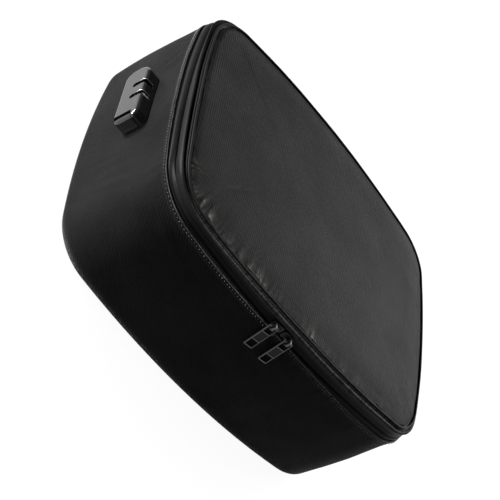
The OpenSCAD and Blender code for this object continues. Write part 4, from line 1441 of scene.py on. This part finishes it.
# %% Sliders
def slider_body(name, side):
    """Front and back plate, post and raised back of a slider."""
    half, high = slider_long / 2, slider_high / 2
    plan = rounded([(-side * half, -0.7 * high, 0.6), (0, -high, 1.5), (side * half, -high, 1.2),
                    (side * half, high, 1.2), (0, high, 1.5), (-side * half, 0.7 * high, 0.6)])
    ridge = rounded([(-side * 3.6, -1.3, 1.2), (side * 3.9, -1.7, 1.2), (side * 3.9, 1.7, 1.2),
                     (-side * 3.6, 1.3, 1.2)])
    plates = ((plan, 0.6, 2.0, 0.4), (plan, slider_back, 1.0, 0.25), (ridge, 0.0, 1.2, 0.4))
    parts = [placed(softened(plate("plate", outline, -depth - thick, -depth), soft),
                    Matrix.Rotation(quarter, 4, "X")) for outline, depth, thick, soft in plates]
    near, far = sorted((side * 2.2, side * 4.4))
    parts.append(softened(block("post", (near, 2.3, -0.5), (far, slider_back + 0.3, 0.5)), 0.15))
    return joined(name, parts)


def bail(name, side):
    """The loop on a slider's front that its pull hangs in."""
    middle, tall = -side * pull_off, slider_high / 2 - 0.6
    loop = block(name, (middle - 1, -5.0, -tall), (middle + 1, 0.9, tall))
    cut(loop, block("eye", (middle - 3, -3.8, 1.2 - tall), (middle + 3, 3, tall - 1.2)))
    return softened(loop, 0.45, 3)


for side, word, place in SIDES:
    slider = placed(slider_body(f"slider_body_{word}", side), place)
    dress(slider, black_metal, f"slider_{word}", [f"slider_{word}"], angle=35, hard=True)
    loop = placed(bail(f"slider_bail_{word}", side), place)
    dress(loop, worn_metal, f"slider_{word}", angle=35, hard=True)


# %% Pulls
pull_long, pull_wide, pull_thick, pull_rim, hole_long, pull_depth = 33.4, 9.2, 1.8, 1.8, 8.4, -2.1
pull_lean = math.radians(12)
pull_top, pull_end = pull_rim / 2, pull_rim / 2 - pull_long


def pull_bar(name):
    """The bar with its two holes and its raised rim."""
    wide, thick = pull_wide / 2, pull_thick / 2
    bar = softened(block(name, (-wide, pull_end, -thick), (wide, pull_top, thick)), 0.9, 4, 80)
    inner, low_hole, high_hole = wide - 1.0, pull_end + 1.6, -pull_rim / 2 - hole_long
    for start in (low_hole, high_hole):
        cut(bar, block("hole", (-inner, start, -3), (inner, start + hole_long, 3)))
    for face in (-thick - 1, thick - 0.35):
        cut(bar, block("dip", (-inner, low_hole + hole_long + 1.0, face),
                       (inner, high_hole - 1.0, face + 1.35)))
    return softened(bar, 0.28, 2)


upright = Matrix.Rotation(quarter, 4, "X") @ Matrix.Rotation(pull_lean, 4, "Z")
for side, word, place in SIDES:
    hanging = place @ Matrix.Translation((-side * pull_off * mm, pull_depth * mm, 0)) @ upright
    bar = placed(pull_bar(f"pull_bar_{word}"), hanging)
    dress(bar, rim_metal, f"pull_{word}", [f"pull_{word}"], angle=35, hard=True)
    wide, front = pull_wide / 2 - 0.8, pull_thick / 2
    panel = block(f"pull_panel_{word}", (-wide, pull_end + 11.2, -front + 0.6),
                  (wide, -10.5, front - 0.25))
    dress(placed(softened(panel, 0.1), hanging), panel_metal, f"pull_{word}", angle=35,
          hard=True)


# %% [markdown]
# ## The parts that keep their shape
# Boards, screws, plates, the latch and the dials are stiff, and the construction already has their
# true shape. They only need their finish, which goes into the material slots that they have.

# %% Finishes for the frame's own pieces
KEPT = {grey_board: ["base_board", "front_board", "rear_board", "left_board", "right_board",
                     "lid_board"],
        steel: ["zip_end_stops", "lock_base_plate", "lock_backing_plate", "lock_screws", "latch_bar",
                "dial_shaft", "dial_detent_spring"],
        nylon: ["dial_1", "dial_2", "dial_3"], rubber: ["lock_gasket"]}
for finish, nodes in KEPT.items():
    for node in nodes:
        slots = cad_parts[node].data.materials
        if not slots:
            slots.append(finish)
        for slot in range(len(slots)):
            slots[slot] = finish
print("kept:", sum(len(nodes) for nodes in KEPT.values()), "pieces of the frame")
